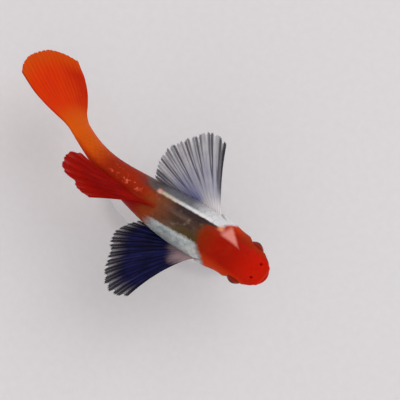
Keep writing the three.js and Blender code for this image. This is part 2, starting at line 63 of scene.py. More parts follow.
def set_around(name, data, azimuth, elevation, distance):
    """A camera or lamp that looks at the fish, from a direction given by two angles in degrees."""
    around = math.radians(azimuth)
    rise = math.radians(elevation)
    way = Vector((math.sin(around) * math.cos(rise), -math.cos(around) * math.cos(rise), math.sin(rise)))
    thing = bpy.data.objects.new(name, data)
    thing.location = VIEW_TARGET + way * distance
    thing.rotation_euler = (-way).to_track_quat("-Z", "Y").to_euler()
    bpy.context.scene.collection.objects.link(thing)
    return thing


def aim_camera():
    lens = bpy.data.cameras.new("camera")
    lens.lens = 100
    lens.sensor_width = 36
    lens.clip_start = 0.01
    lens.clip_end = 5
    camera = set_around("camera", lens, VIEW_AZIMUTH, VIEW_ELEVATION, VIEW_DISTANCE)
    bpy.context.scene.camera = camera
    return camera


print("camera at", [round(c, 4) for c in aim_camera().location])

# %% [markdown]
# ## Shader sums as plain Python
# A material is a graph of nodes, and sums drawn as nodes are hard to read. A small class wraps
# an output socket and gives it ordinary arithmetic, so that `1 - mask * 0.5` adds the Math nodes
# itself. Every other node comes from one method that takes its type, settings and inputs.

# %% Sockets with arithmetic
class Sum:
    """An output socket with the arithmetic that the finishes use."""

    def __init__(self, finish, socket):
        self.finish = finish
        self.socket = socket

    def math(self, operation, *values):
        node = self.finish.node("ShaderNodeMath", {"operation": operation}, dict(enumerate(values)))
        return Sum(self.finish, node.outputs[0])

    def __add__(self, other):
        return self.math("ADD", self, other)

    __radd__ = __add__

    def __sub__(self, other):
        return self.math("SUBTRACT", self, other)

    def __rsub__(self, other):
        return self.math("SUBTRACT", other, self)

    def __mul__(self, other):
        return self.math("MULTIPLY", self, other)

    __rmul__ = __mul__

    def __abs__(self):
        return self.math("ABSOLUTE", self)

    def least(self, other):
        return self.math("MINIMUM", self, other)

    def step(self, low, high):
        """A soft step that is 0 below low and 1 above high, or the other way round."""
        if low > high:
            return 1 - self.step(high, low)
        settings = {"interpolation_type": "SMOOTHSTEP"}
        inputs = {"Value": self, "From Min": low, "From Max": high}
        node = self.finish.node("ShaderNodeMapRange", settings, inputs)
        return Sum(self.finish, node.outputs[0])

    def near(self, place, sharpness, full=0.9):
        """1 close to a place and 0 away from it. The sharper, the narrower."""
        return (1 - abs(self - place) * sharpness).step(0.0, full)


print("sockets can now be used with +, -, * and abs")

# %% Finishes
class Finish:
    """A material, with its shader at hand."""

    def __init__(self, name, **constants):
        self.material = bpy.data.materials.new(name)
        self.material.use_nodes = True
        self.tree = self.material.node_tree
        self.shader = self.tree.nodes["Principled BSDF"]
        for socket, value in constants.items():
            self.shader.inputs[socket.replace("_", " ")].default_value = value

    def node(self, kind, settings=None, inputs=None):
        node = self.tree.nodes.new(kind)
        for name, value in (settings or {}).items():
            setattr(node, name, value)
        for name, value in (inputs or {}).items():
            if isinstance(value, Sum):
                self.tree.links.new(value.socket, node.inputs[name])
            else:
                node.inputs[name].default_value = value
        return node

    def field(self, name):
        """A number that the mesh carries at each of its points."""
        node = self.node("ShaderNodeAttribute", {"attribute_type": "GEOMETRY", "attribute_name": name})
        return Sum(self, node.outputs["Fac"])

    def own_place(self):
        """Where each point lies on its own object, in metres."""
        return Sum(self, self.node("ShaderNodeTexCoord").outputs["Object"])

    def place(self, x, y, z=0.0):
        node = self.node("ShaderNodeCombineXYZ", inputs={"X": x, "Y": y, "Z": z})
        return Sum(self, node.outputs[0])

    def noise(self, place, scale, detail=2.0, roughness=0.5):
        inputs = {"Vector": place, "Scale": scale, "Detail": detail, "Roughness": roughness}
        node = self.node("ShaderNodeTexNoise", inputs=inputs)
        return Sum(self, node.outputs["Fac"])

    def blend(self, mask, below, above):
        """One colour over another, by a mask. The colour sockets of a Mix node are 6 and 7."""
        node = self.node("ShaderNodeMix", {"data_type": "RGBA"}, {0: mask, 6: below, 7: above})
        return Sum(self, node.outputs[2])

    def coats(self, ground, **coats):
        """Coats of colour over a ground, each a mask and a colour, by names that say what they are."""
        for mask, colour in coats.values():
            ground = self.blend(mask, ground, colour)
        return ground

    def feed(self, **links):
        for socket, value in links.items():
            self.tree.links.new(value.socket, self.shader.inputs[socket.replace("_", " ")])

    def bump(self, height, strength, distance):
        inputs = {"Height": height, "Strength": strength, "Distance": distance}
        self.feed(Normal=Sum(self, self.node("ShaderNodeBump", inputs=inputs).outputs[0]))


def paint(red, green, blue):
    """A colour as a printer names it, 0 to 255, turned into the light that it sends back."""
    shares = [channel / 255 for channel in (red, green, blue)]
    return (*[s / 12.92 if s <= 0.04045 else ((s + 0.055) / 1.055) ** 2.4 for s in shares], 1)


print("a mid grey sends back", round(paint(128, 128, 128)[0], 3))

# %% [markdown]
# ## The floor and the light
# The fish is shown over a plain pale table under soft light. The floor could be a curved backdrop, but
# a very large plane has no edge in view either. A wide lamp, a weaker one and a pale sky from all sides
# give one soft shadow towards the lower left.

# %% Floor
FLOOR_SIZE = 4.0
PAPER_GRAIN = 900.0


def floor_paper():
    finish = Finish("floor_paper", Roughness=0.9)
    grain = finish.noise(finish.own_place(), PAPER_GRAIN)
    finish.feed(Base_Color=finish.blend(grain, paint(212, 209, 211), paint(218, 216, 217)))
    return finish


def make_floor(finish):
    mesh = bpy.data.meshes.new("floor")
    form = bmesh.new()
    bmesh.ops.create_grid(form, x_segments=8, y_segments=8, size=FLOOR_SIZE / 2)
    form.to_mesh(mesh)
    form.free()
    mesh.materials.append(finish.material)
    floor = bpy.data.objects.new("floor", mesh)
    bpy.context.scene.collection.objects.link(floor)


make_floor(floor_paper())
print("the floor is", FLOOR_SIZE, "m wide")

# %% Light
SKY_COLOUR = (1, 0.985, 0.985, 1)
SKY_STRENGTH = 0.81


def make_lamp(name, size, power, azimuth, elevation, distance):
    light = bpy.data.lights.new(name, "AREA")
    light.size = size
    light.energy = power
    set_around(name, light, azimuth, elevation, distance)


def make_sky():
    sky = bpy.data.worlds.new("sky")
    sky.use_nodes = True
    back = sky.node_tree.nodes["Background"]
    back.inputs["Color"].default_value = SKY_COLOUR
    back.inputs["Strength"].default_value = SKY_STRENGTH
    bpy.context.scene.world = sky


make_sky()
make_lamp("window", size=0.6, power=2.1, azimuth=165, elevation=55, distance=0.9)
make_lamp("fill", size=0.8, power=0.5, azimuth=20, elevation=50, distance=1.0)
bpy.context.scene.view_settings.view_transform = "Standard"

# %% [markdown]
# ## The fish's own measures
# A fish is easiest to describe along its spine: how wide, how deep and how bent it is at each share
# of its length. Few stations are enough when a smooth curve runs through them. These are the
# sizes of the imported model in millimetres, so the skin lies where the solids do.

# %% Smooth curves through stations
LEAST_LENGTH = 1e-9


def curve_through(stations):
    """A smooth curve through pairs of place and value, which stays level beyond its ends."""
    places = np.array([place for place, _ in stations], float)
    values = np.array([value for _, value in stations], float)
    last = len(stations) - 1
    before = np.maximum(np.arange(last + 1) - 1, 0)
    after = np.minimum(np.arange(last + 1) + 1, last)
    slopes = (values[after] - values[before]) / (places[after] - places[before])

    def at(place):
        x = np.clip(place, places[0], places[last])
        i = np.clip(np.searchsorted(places, x, side="left") - 1, 0, last - 1)
        span = places[i + 1] - places[i]
        t = (x - places[i]) / span
        chord = values[i + 1] - values[i]
        bend = (1 - t) * (slopes[i] * span - chord) - t * (slopes[i + 1] * span - chord)
        return values[i] * (1 - t) + values[i + 1] * t + t * (1 - t) * bend

    return at


def soft_step(value, low, high):
    """A step that is 0 below low and 1 above high, or the other way round, with soft ends."""
    if low > high:
        return 1 - soft_step(value, high, low)
    t = np.clip((value - low) / (high - low), 0, 1)
    return t * t * (3 - 2 * t)


def mixed(low, high, share):
    return low + (high - low) * share


def hump(distance, width):
    """1 where the distance is none, falling softly to nothing at about two widths."""
    return np.exp(-((distance / width) ** 2))


def unit(vectors):
    """The same directions, each 1 long."""
    return vectors / np.maximum(np.linalg.norm(vectors, axis=-1, keepdims=True), LEAST_LENGTH)


print("a quarter of the way up, a soft step is", float(soft_step(0.25, 0, 1)))

# %% [markdown]
# ## The plan of the body
# Two curves say how the spine turns and how the body rolls about it, and the others how wide, how high
# and how deep the body is. The spine could be drawn by hand, but then its length would be hard to
# keep. Here it is walked in small steps, each in the direction of its own turn, and then moved so that
# it passes over the pin. Every point of the fish is placed from this spine.

# %% Body plan
STANDARD_LENGTH = 33.2
SPINE_HEIGHT = 15.5
ROD_STATION = 0.46
SNOUT_ROUND = 0.035
SNOUT_STRETCH = 0.35
SNOUT_STRETCH_FROM = 0.13

turn = curve_through([(0, 9), (0.15, 6), (0.3, 1), (0.45, 1), (0.6, 6), (0.75, 11), (0.88, 21), (1, 29),
                      (1.2, 36), (1.4, 38)])
roll = curve_through([(0, 0), (0.3, 2), (0.5, 6), (0.7, 16), (0.9, 27), (1, 32), (1.2, 42), (1.4, 48)])
half_width = curve_through([(0, 1.5), (0.06, 2.5), (0.12, 3.05), (0.22, 3.5), (0.38, 3.65), (0.5, 3.35),
                            (0.65, 2.55), (0.8, 1.65), (0.92, 1), (1, 0.72), (1.1, 0.6)])
back = curve_through([(0, 1.5), (0.1, 2.35), (0.22, 3.15), (0.42, 3.75), (0.6, 3.45), (0.75, 2.75),
                      (0.9, 2.3), (1, 2.2), (1.1, 2.2)])
belly = curve_through([(0, 0.5), (0.05, -1), (0.12, -2.5), (0.2, -3.6), (0.36, -4.5), (0.48, -4.4),
                       (0.6, -3.4), (0.75, -2.6), (0.9, -2.3), (1, -2.2), (1.1, -2.2)])
widest_level = curve_through([(0, 1.1), (0.1, 0.3), (0.25, -0.5), (0.45, -0.8), (0.7, -0.2), (1.1, 0)])
squareness = curve_through([(0, 2.7), (0.25, 2.5), (0.5, 2.1), (1.1, 2)])

SPINE_STEP = 0.005
SPINE_END = 1.5
spine_places = np.arange(0, SPINE_END + SPINE_STEP / 2, SPINE_STEP)
spine_angles = np.radians(turn(spine_places[:-1] + SPINE_STEP / 2))
spine_x = np.concatenate([[0], np.cumsum(-np.cos(spine_angles))]) * SPINE_STEP * STANDARD_LENGTH
spine_y = np.concatenate([[0], np.cumsum(np.sin(spine_angles))]) * SPINE_STEP * STANDARD_LENGTH
spine_x -= np.interp(ROD_STATION, spine_places, spine_x)
spine_y -= np.interp(ROD_STATION, spine_places, spine_y)


def snout_stretch(u):
    """How far forward the snout is drawn beyond the spine's own start."""
    return SNOUT_STRETCH * soft_step(u, SNOUT_STRETCH_FROM, 0)


def body_frame(u):
    """Where the spine is, and the fish's own forwards, left and up there, each as rows of three."""
    u = np.asarray(u, float)
    at = np.stack([np.interp(u, spine_places, spine_x), np.interp(u, spine_places, spine_y),
                   np.full_like(u, SPINE_HEIGHT)], -1)
    angle = np.radians(turn(np.maximum(u, 0)))
    lean = np.radians(roll(np.maximum(u, 0)))
    none = np.zeros_like(u)
    forward = np.stack([np.cos(angle), -np.sin(angle), none], -1)
    level = np.stack([np.sin(angle), np.cos(angle), none], -1)
    over = np.stack([none, none, none + 1], -1)
    left = level * np.cos(lean)[..., None] + over * np.sin(lean)[..., None]
    up = over * np.cos(lean)[..., None] - level * np.sin(lean)[..., None]
    at = at + forward * snout_stretch(u)[..., None]
    return at, forward, left, up


def frame_at(u):
    """The same at one place, as four single points or directions."""
    return [part[0] for part in body_frame(np.array([u]))]


def body_point(u, side, height):
    at, _, left, up = body_frame(u)
    return at + left * np.asarray(side)[..., None] + up * np.asarray(height)[..., None]


print("tail root in mm:", frame_at(1.0)[0].round(2))

# %% [markdown]
# ## Meshes from grids
# The skin, the eyes and the fins are all points in rows and columns. Building them from one array of
# points is fast and exact, and numbers such as how far along a fin a point lies can be stored on
# the mesh for its finish to read. A tube of such rows is closed by one point at each of its ends.

# %% From a grid of points to a piece
SAME_PLACE = 1e-8


def make_piece(name, points, faces, fields, finish, slot, nodes):
    """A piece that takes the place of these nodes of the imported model. Its points are in mm."""
    mesh = bpy.data.meshes.new(name)
    mesh.from_pydata((np.asarray(points) * MM).tolist(), [], faces)
    form = bmesh.new()
    form.from_mesh(mesh)
    bmesh.ops.remove_doubles(form, verts=form.verts, dist=SAME_PLACE)
    bmesh.ops.recalc_face_normals(form, faces=form.faces)
    form.to_mesh(mesh)
    form.free()
    if len(mesh.vertices) != len(points):
        raise ValueError(f"{name} has points that coincide")
    for field, values in fields.items():
        stored = mesh.attributes.new(field, "FLOAT", "POINT")
        stored.data.foreach_set("value", np.asarray(values, np.float32))
    mesh.shade_smooth()
    mesh.materials.append(finish.material)
    piece = bpy.data.objects.new(name, mesh)
    bpy.context.scene.collection.objects.link(piece)
    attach(piece, "root")
    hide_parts(*nodes)
    print(name, len(mesh.vertices), "points,", len(mesh.polygons), "faces")


print("points closer than", SAME_PLACE / MM, "mm count as one")

# %% Closed tubes
def full_turn(columns):
    """The angles of a ring's points, in radians."""
    return np.arange(columns) / columns * 2 * math.pi


def tube_faces(rows, columns):
    i, j = np.meshgrid(np.arange(rows - 1), np.arange(columns), indexing="ij")
    k = (j + 1) % columns
    quads = np.stack([i * columns + j, (i + 1) * columns + j, (i + 1) * columns + k, i * columns + k], -1)
    faces = quads.reshape(-1, 4).tolist()
    start, end = rows * columns, rows * columns + 1
    last = (rows - 1) * columns
    for j in range(columns):
        k = (j + 1) % columns
        faces.append((start, j, k))
        faces.append((end, last + k, last + j))
    return faces


def make_tube(name, points, ends, fields, **piece):
    """A closed tube. Each field is a grid of numbers with the two numbers at the ends."""
    rows, columns, _ = points.shape
    every = np.concatenate([points.reshape(-1, 3), ends])
    stored = {field: np.append(values.ravel(), at_ends) for field, (values, at_ends) in fields.items()}
    make_piece(name, every, tube_faces(rows, columns), stored, **piece)


print("a tube of 3 rings of 4 points has", len(tube_faces(3, 4)), "faces")

# %% [markdown]
# ## Scales
# The scales lie like tiles, each over the two behind it. Their edges can be worked out without
# modelling one by one: two staggered sets of round-ended tiles are compared at every point, and the
# tile that starts further forward lies on top. What comes out is how near its free edge a point is.

# %% Scale pattern
SCALES_ALONG = 30
SCALES_AROUND = 24
SCALE_ARC = 0.5


def scale_pattern(u, angle):
    """0 just behind a scale's free edge, rising to 1 at the next edge."""
    along = u * SCALES_ALONG
    around = angle / (2 * math.pi) * SCALES_AROUND
    even = (around + 1) % 2 - 1
    odd = around % 2 - 1
    first = along + SCALE_ARC * even**2
    second = along + 0.5 + SCALE_ARC * odd**2
    first_apex = np.ceil(first)
    second_apex = np.ceil(second) - 0.5
    on_first = first_apex < second_apex
    rest = np.where(on_first, first_apex - first, second_apex + 0.5 - second)
    return 1 - rest


print("a scale shows", round(STANDARD_LENGTH / SCALES_ALONG, 2), "mm of its length")

# %% [markdown]
# ## The skin
# One skin covers head, trunk and tail stem, so no seam shows where the solids are parted. It could be
# sculpted, but formulas keep it exact against the solids. Its sections are rounded squares over the
# back and ellipses below. Rows of points lie closer together at the snout, where the lips need them.

# %% Plain body
SNOUT_ROWS = 60
SNOUT_SWEEP = (0.02, 0.5)
HEAD_ROWS = 110
HEAD_END = 0.3
BODY_ROWS = 300
SKIN_COLUMNS = 288
SKIN_END = 1.07
TAPER_FROM = 1.0
TAPER = 0.8


def skin_rows():
    """Shares of the length. They crowd at the snout, as a ball's rings crowd at its pole."""
    snout = SNOUT_ROUND * (1 - np.cos(np.linspace(*SNOUT_SWEEP, SNOUT_ROWS) * math.pi))
    head = np.linspace(SNOUT_ROUND, HEAD_END, HEAD_ROWS + 1)[1:]
    body = np.linspace(HEAD_END, SKIN_END, BODY_ROWS + 1)[1:]
    return np.concatenate([snout, head, body])


def smooth_body(u, angle):
    """How far to the side and up the plain skin lies, and how much of its flank it is there."""
    snout = np.sqrt(np.maximum(1 - (1 - np.minimum(u / SNOUT_ROUND, 1)) ** 2, 0))
    level = widest_level(u)
    across = np.cos(angle)
    over = np.sin(angle)
    reach = np.where(over > 0, back(u) - level, level - belly(u))
    power = np.where(over > 0, 2 / squareness(u), 1)
    flank = np.sign(across) * np.abs(across) ** power
    taper = 1 - TAPER * soft_step(u, TAPER_FROM, SKIN_END)
    side = flank * half_width(u) * snout * taper
    height = level + np.sign(over) * np.abs(over) ** power * reach * snout
    return side, height, flank


print("the skin has", len(skin_rows()), "rings of", SKIN_COLUMNS, "points")

# %% [markdown]
# ## The head's larger forms
# The head gets the most care. Each gill cover is a plate that stands a little proud of the flank, ends
# in a free edge and melts away over the nape. The skin rises round each eye and closes in on
# its ball. Both are pressed into the one skin by formulas of distance, as a sculptor would press
# them into clay, so that no seam shows.

# %% Gill covers
GILL_RISE = 0.24
GILL_START = (0.17, 0.26)
GILL_FALL = (-0.05, 0.14)
GILL_MELT = 2.0
GILL_MELT_HEIGHTS = (1.2, 2.4)
GILL_TOP = (2.1, 1.2)
GILL_FOOT = (-4.6, -4.0)
GROOVE_DEPTH = 0.16
GROOVE_PLACE = 0.16
GROOVE_WIDTH = 0.14
GILL_LINE_PLACE = 0.14
GILL_LINE_WIDTH = 0.12

gill_edge = curve_through([(-5.4, 0.17), (-2.8, 0.245), (-0.9, 0.284), (1, 0.272), (2.6, 0.225), (5, 0.2)])


def gill_cover(u, height):
    """How far the cover stands out from the flank, and how dark the line behind its edge is."""
    behind = (u - gill_edge(height)) * STANDARD_LENGTH
    free = soft_step(height, *GILL_TOP) * soft_step(height, *GILL_FOOT)
    melt = GILL_MELT * soft_step(height, *GILL_MELT_HEIGHTS)
    from_edge, to_flank = GILL_FALL
    fall = np.clip((behind - from_edge + melt) / (to_flank - from_edge + 2 * melt), 0, 1)
    cover = GILL_RISE * soft_step(u, *GILL_START) * (1 - fall * fall * (3 - 2 * fall))
    groove = GROOVE_DEPTH * hump(behind - GROOVE_PLACE, GROOVE_WIDTH)
    line = hump(behind - GILL_LINE_PLACE, GILL_LINE_WIDTH)
    return cover - groove * free, line * free


print("the gill cover ends", round(float(gill_edge(0.0)) * STANDARD_LENGTH, 1), "mm behind the snout")

# %% Eye sockets
EYE_STATION = 0.098
EYE_SIDE = 2.02
EYE_HEIGHT = 0.45
EYE_RADIUS = 1.4
EYE_DEPTH = 1.32
EYE_OPENING = 1.2
EYE_BROW = 1.58
BROW_SLOPE = 0.5
UNDER_EYE = 0.07
ORBIT_RISE = 0.4
ORBIT_REACH = 1.7
SOCKET_LINE = (0.2, 0.02)
FLANK_FROM = 0.4


def eye_seat(from_eye):
    """How far out to the side the skin lies where it closes in on the eye and where it runs under it."""
    inside = np.minimum(from_eye, EYE_OPENING)
    ball = EYE_SIDE + EYE_DEPTH * np.sqrt(1 - (inside / EYE_RADIUS) ** 2)
    return ball - UNDER_EYE + BROW_SLOPE * (from_eye - inside)


def skin_shape():
    """The skin with gill covers and eye sockets, in grids, and where its two kinds of dark line run."""
    u, angle = np.meshgrid(skin_rows(), full_turn(SKIN_COLUMNS), indexing="ij")
    side, height, flank = smooth_body(u, angle)
    along = (u - EYE_STATION) * STANDARD_LENGTH - snout_stretch(u) + snout_stretch(EYE_STATION)
    from_eye = np.hypot(along, height - EYE_HEIGHT)
    cover, gill_line = gill_cover(u, height)
    side = side + flank * (ORBIT_RISE * hump(from_eye, ORBIT_REACH) + cover)
    on_flank = np.abs(flank) > FLANK_FROM
    at_eye = soft_step(from_eye, EYE_BROW, EYE_OPENING) * on_flank
    side = mixed(side, np.sign(flank) * eye_seat(from_eye), at_eye)
    line_start, line_end = SOCKET_LINE
    socket = soft_step(from_eye, EYE_OPENING + line_start, EYE_OPENING + line_end) * on_flank
    shape = SimpleNamespace(u=u, angle=angle, side=side, height=height, points=body_point(u, side, height))
    return shape, dict(gill=gill_line, socket=socket)


print("an eye's opening is", 2 * EYE_OPENING, "mm wide")

# %% [markdown]
# ## The head's small forms and the scales
# The mouth is a slit between two lips, and each nostril a pit with a raised rim. They could be painted
# on, but a raised lip catches the light from every side. So they are moved along the skin's own
# normals, and so are the scales, which are only a few hundredths of a millimetre high.

# %% Mouth
MOUTH_HEIGHT = 1.25
MOUTH_SLOPE = math.radians(38)
MOUTH_SIDES = (1.75, 1.4)
MOUTH_BACK = (-1.3, -0.9)
LIP_RISE = 0.19
LIP_PLACE = 0.27
LIP_WIDTH = 0.19
UPPER_LIP = 0.8
LOWER_LIP = 1.25
SLIT_DEPTH = 0.42
SLIT_WIDTH = 0.085


def mouth_places(points):
    """How far ahead in the plane of the mouth, to the side, and above it, each point lies."""
    at, forward, left, up = frame_at(0.0)
    from_mouth = points - (at + up * MOUTH_HEIGHT)
    ahead = from_mouth @ forward
    rise = from_mouth @ up
    in_plane = ahead * math.cos(MOUTH_SLOPE) + rise * math.sin(MOUTH_SLOPE)
    above = rise * math.cos(MOUTH_SLOPE) - ahead * math.sin(MOUTH_SLOPE)
    return in_plane, from_mouth @ left, above


def mouth_relief(points):
    """How far the lips rise and the slit sinks, and what share of either each point is."""
    ahead, across, above = mouth_places(points)
    in_mouth = soft_step(np.abs(across), *MOUTH_SIDES) * soft_step(ahead, *MOUTH_BACK)
    lips = UPPER_LIP * hump(above - LIP_PLACE, LIP_WIDTH) + LOWER_LIP * hump(above + LIP_PLACE, LIP_WIDTH)
    lips = lips * in_mouth
    slit = hump(above, SLIT_WIDTH) * in_mouth
    return LIP_RISE * lips - SLIT_DEPTH * slit, dict(mouth=slit, lips=lips)


print("the mouth is about", 2 * MOUTH_SIDES[1], "mm wide")

# %% Nostrils and scales
NOSTRIL_STATION = 0.046
NOSTRIL_SIDE = 1.15
NOSTRIL_LEVEL = 0.5
NOSTRIL_RADIUS = 0.17
NOSTRIL_DEPTH = 0.3
NOSTRIL_RIM_RISE = 0.05
NOSTRIL_RIM_PLACE = 0.3
NOSTRIL_RIM_WIDTH = 0.1
FAR_AWAY = 9
SCALES_START = (0.2, 0.3)
SCALES_END = (1.02, 0.96)
SCALE_RELIEF = 0.028
SCALE_SWELL = 1.5
SCALE_LEVEL = 0.4


def outward_normals(points):
    rows = np.gradient(points, axis=0)
    columns = (np.roll(points, -1, 1) - np.roll(points, 1, 1)) / 2
    return unit(np.cross(rows, columns))


def nostril_relief(skin):
    nose = np.hypot((skin.u - NOSTRIL_STATION) * STANDARD_LENGTH, np.abs(skin.side) - NOSTRIL_SIDE)
    nose = np.where(skin.height > widest_level(skin.u) + NOSTRIL_LEVEL, nose, FAR_AWAY)
    pit = hump(nose, NOSTRIL_RADIUS)
    rim = hump(nose - NOSTRIL_RIM_PLACE, NOSTRIL_RIM_WIDTH)
    return NOSTRIL_RIM_RISE * rim - NOSTRIL_DEPTH * pit, dict(nostril=pit)


def scale_relief(skin):
    scaled = soft_step(skin.u, *SCALES_START) * soft_step(skin.u, *SCALES_END)
    pattern = scale_pattern(skin.u, skin.angle)
    return SCALE_RELIEF * scaled * (pattern**SCALE_SWELL - SCALE_LEVEL), dict(scale=pattern * scaled)


def press_details(skin):
    """The skin's points with the small forms on it, and what share of each form they are."""
    reliefs = [scale_relief(skin), mouth_relief(skin.points), nostril_relief(skin)]
    marks = {name: share for _, shares in reliefs for name, share in shares.items()}
    relief = sum(rise for rise, _ in reliefs)
    return skin.points + outward_normals(skin.points) * relief[..., None], marks


print("from edge to edge, a scale rises by", SCALE_RELIEF, "mm")

# %% [markdown]
# ## Where the colours go
# A fish's colours follow its body. They could be painted on an image, but formulas stay sharp at any
# size, so every border is set by length, by place across and by height. Each is frayed with
# noise, because colour cells never end in a clean line. The measures and the noises that all colours
# share are gathered here once. The skin's gloss is kept low, because a wet gloss would lay the
# pale sky over its reds like a veil.

# %% Places on the skin
def skin_places(finish):
    length = finish.field("length")
    across = finish.field("across")
    height = finish.field("height")
    place = finish.place(length * STANDARD_LENGTH, across, height)
    broad = finish.noise(place, 0.55, 3.0)
    fine = finish.noise(place, 2.4, 4.0, 0.6)
    wobble = fine - 0.5
    fray = wobble * 0.04 + (broad - 0.5) * 0.04
    return SimpleNamespace(
        length=length,
        across=across,
        height=height,
        edge=finish.field("scale"),
        broad=broad,
        fine=fine,
        grain=finish.noise(place, 7.0, 3.0, 0.6),
        streak=finish.noise(finish.place(length * 8.0, across * 1.5, height * 1.2), 1.0, 4.0, 0.6),
        spot=finish.noise(finish.place(length * 24.0, across * 0.8 + 9.0, height * 0.8), 1.0, 3.0, 0.55),
        fleck=finish.noise(finish.place(length * 44.0, across * 1.7 + 4.0, height), 1.0, 3.0, 0.6),
        wobble=wobble,
        fray=fray,
        along=length + fray,
        left=across + wobble * 0.5,
    )


guppy_skin = Finish("guppy_skin", Coat_Weight=0.02, Coat_Roughness=0.15, Specular_IOR_Level=0.03,
                    Subsurface_Weight=0.1, Subsurface_Scale=0.0005)
places = skin_places(guppy_skin)
print("measures that the colours share:", ", ".join(vars(places)))

# %% [markdown]
# ## The dark back and the flanks
# Behind the head the back is olive and purple-brown, in soft streaks that run along it. The flanks are
# silvery, from crystals under the skin, and a thin bright line parts them from the back on the fish's
# left: a painted highlight, the glint along the upper edge of that flank. The belly is pale. One ramp
# of colours couldn't hold all this, so each region is a ground with coats over it, from the widest to
# the smallest, and each coat can be changed alone.

# %% Back and flanks
# How far to the left of the spine the painted highlight line runs, in mm.
BRIGHT_LINE = 2.13


def dark_back(finish, at):
    return finish.coats(
        finish.blend(at.streak.step(0.35, 0.7), paint(66, 48, 40), paint(98, 78, 68)),
        plum_left=(at.left.step(0.4, 1.3) * at.length.step(0.52, 0.44) * 0.8, paint(40, 28, 32)),
        olive_right=(at.left.step(-0.2, -1.1) * at.length.step(0.48, 0.38) * 0.75, paint(76, 60, 26)),
        rusty_rear=(at.along.step(0.43, 0.53) * 0.8, paint(118, 62, 34)),
        pale_spots=(at.spot.step(0.56, 0.72) * 0.35, paint(142, 122, 108)),
    )


def flanks(finish, at):
    right = finish.coats(
        finish.blend(at.spot.step(0.35, 0.65), paint(146, 156, 160), paint(186, 190, 187)),
        pale_front=(at.length.step(0.36, 0.30) * 0.6, paint(196, 192, 190)),
    )
    left = finish.coats(
        finish.blend(at.along.step(0.34, 0.42), paint(208, 208, 210), paint(120, 120, 126)),
        dull_rear=(at.along.step(0.5, 0.6), paint(98, 84, 80)),
    )
    return finish.coats(
        right,
        left=(at.left.step(1.2, 1.8), left),
        scale_edges=(at.edge.step(0.7, 1.0) * 0.12, paint(96, 98, 106)),
    )


def back_share(at):
    """Where the dark back is, between its two ragged edges."""
    right_edge = (at.across + at.wobble * 0.7).step(-1.9, -1.45)
    left_edge = (at.across + at.wobble * 0.3).step(2.0, 1.75)
    return right_edge * left_edge * at.height.step(0.8, 1.8)


def middle_of_body(finish, at, on_back):
    # The bright line is a painted highlight, the glint along the upper edge of the left flank.
    line = (at.across + at.wobble * 0.12).near(BRIGHT_LINE, 2.7) * at.height.step(0.3, 1.2)
    line = line * at.length.step(0.27, 0.34) * at.length.step(0.57, 0.53)
    bright = finish.blend(at.length.step(0.42, 0.55), paint(222, 222, 221), paint(222, 204, 166))
    return finish.coats(
        flanks(finish, at),
        dark_back=(on_back, dark_back(finish, at)),
        bright_line=(line * (at.streak * 0.8 + 0.5).least(1.0), bright),
        pale_belly=(at.height.step(-1.2, -3.0), paint(206, 200, 196)),
    )


on_back = back_share(places)
middle = middle_of_body(guppy_skin, places, on_back)
print("the bright line runs", BRIGHT_LINE, "mm to the left of the spine")

# %% [markdown]
# ## The red rear and the orange stem
# Past the dorsal fin's root the back turns brown-orange, then red, and the stem of the tail fades to
# orange. A few pale specks along the upper left are painted highlights, glints off single scales, and
# the flank's edge there stays dark. The border of the red slants. A slanted mask would be hard to
# steer, so the length that it goes by is shifted instead.

# %% Rear body
REAR_START = 0.535


def red_rear(finish, at):
    # Pale specks along the upper left: painted highlights, glints off single scales.
    flecks = at.fleck.step(0.52, 0.66) * at.across.step(0.1, 0.7) * at.across.step(1.8, 1.2)
    flecks = flecks * at.height.step(0.4, 1.2) * at.length.step(0.60, 0.66) * at.length.step(0.80, 0.75)
    shade = at.left.step(1.35, 1.9) * at.length.step(0.7, 0.6) * at.height.step(-1.5, 0.0)
    return finish.coats(
        # The ground red is darker on the fish's right flank: painted shade on the side away from the lamp.
        finish.blend(at.across.step(-1.4, 1.2), paint(134, 8, 0), paint(146, 34, 4)),
        rusty_front=(at.along.step(0.62, 0.56), paint(138, 56, 20)),
        light_streaks=(at.streak.step(0.5, 0.8) * 0.5, paint(172, 36, 10)),
        pale_flecks=(flecks * 0.75, paint(226, 104, 80)),
        dark_flank=(shade * 0.65, paint(88, 54, 46)),
    )


def orange_stem(finish, at):
    return finish.coats(
        finish.blend(at.across.step(-0.7, 0.8), paint(184, 38, 0), paint(200, 82, 4)),
        root_of_tail=(at.length.step(0.93, 1.0) * 0.8, paint(206, 84, 4)),
    )


def rear_drift(at):
    """The length that the rear's border goes by, cut short where the border lies further back."""
    return at.along + at.left.step(1.2, 2.6) * -0.10 + at.height.step(-0.5, -2.6) * -0.03


def with_rear(finish, at, body, drift):
    rear = finish.blend(at.along.step(0.78, 0.93), red_rear(finish, at), orange_stem(finish, at))
    # A pink dot where the bright line ends at the back: painted highlight, like the line itself.
    dot = at.length.near(0.555, 60) * at.across.near(2.1, 2.4) * at.height.step(0.4, 1.0)
    return finish.coats(
        body,
        rear=(drift.step(REAR_START - 0.03, REAR_START + 0.03), rear),
        pink_dot=(dot, paint(238, 176, 160)),
    )


drift = rear_drift(places)
middle_and_rear = with_rear(guppy_skin, places, middle, drift)
print("the red starts about", round(REAR_START * STANDARD_LENGTH, 1), "mm behind the snout")

# %% [markdown]
# ## The red cap
# The head is red like a cap, brightest at the snout and brown-red at the nape, and its sides are painted
# a brighter orange, as a rim light. Its hind border is a bow, and on the left a bare pinkish wedge cuts
# into it above the gill cover. Both could be drawn as outlines, but as a bow and two straight distances
# they need only a few numbers.

# %% Head colours
CAP_END = 0.322
CAP_CURVE = 0.0065
WEDGE_TIP = (5.1, 0.95)
WEDGE_WAY = (0.93, 0.37)
WEDGE_LENGTH = 2.9
WEDGE_SPREAD = 0.36


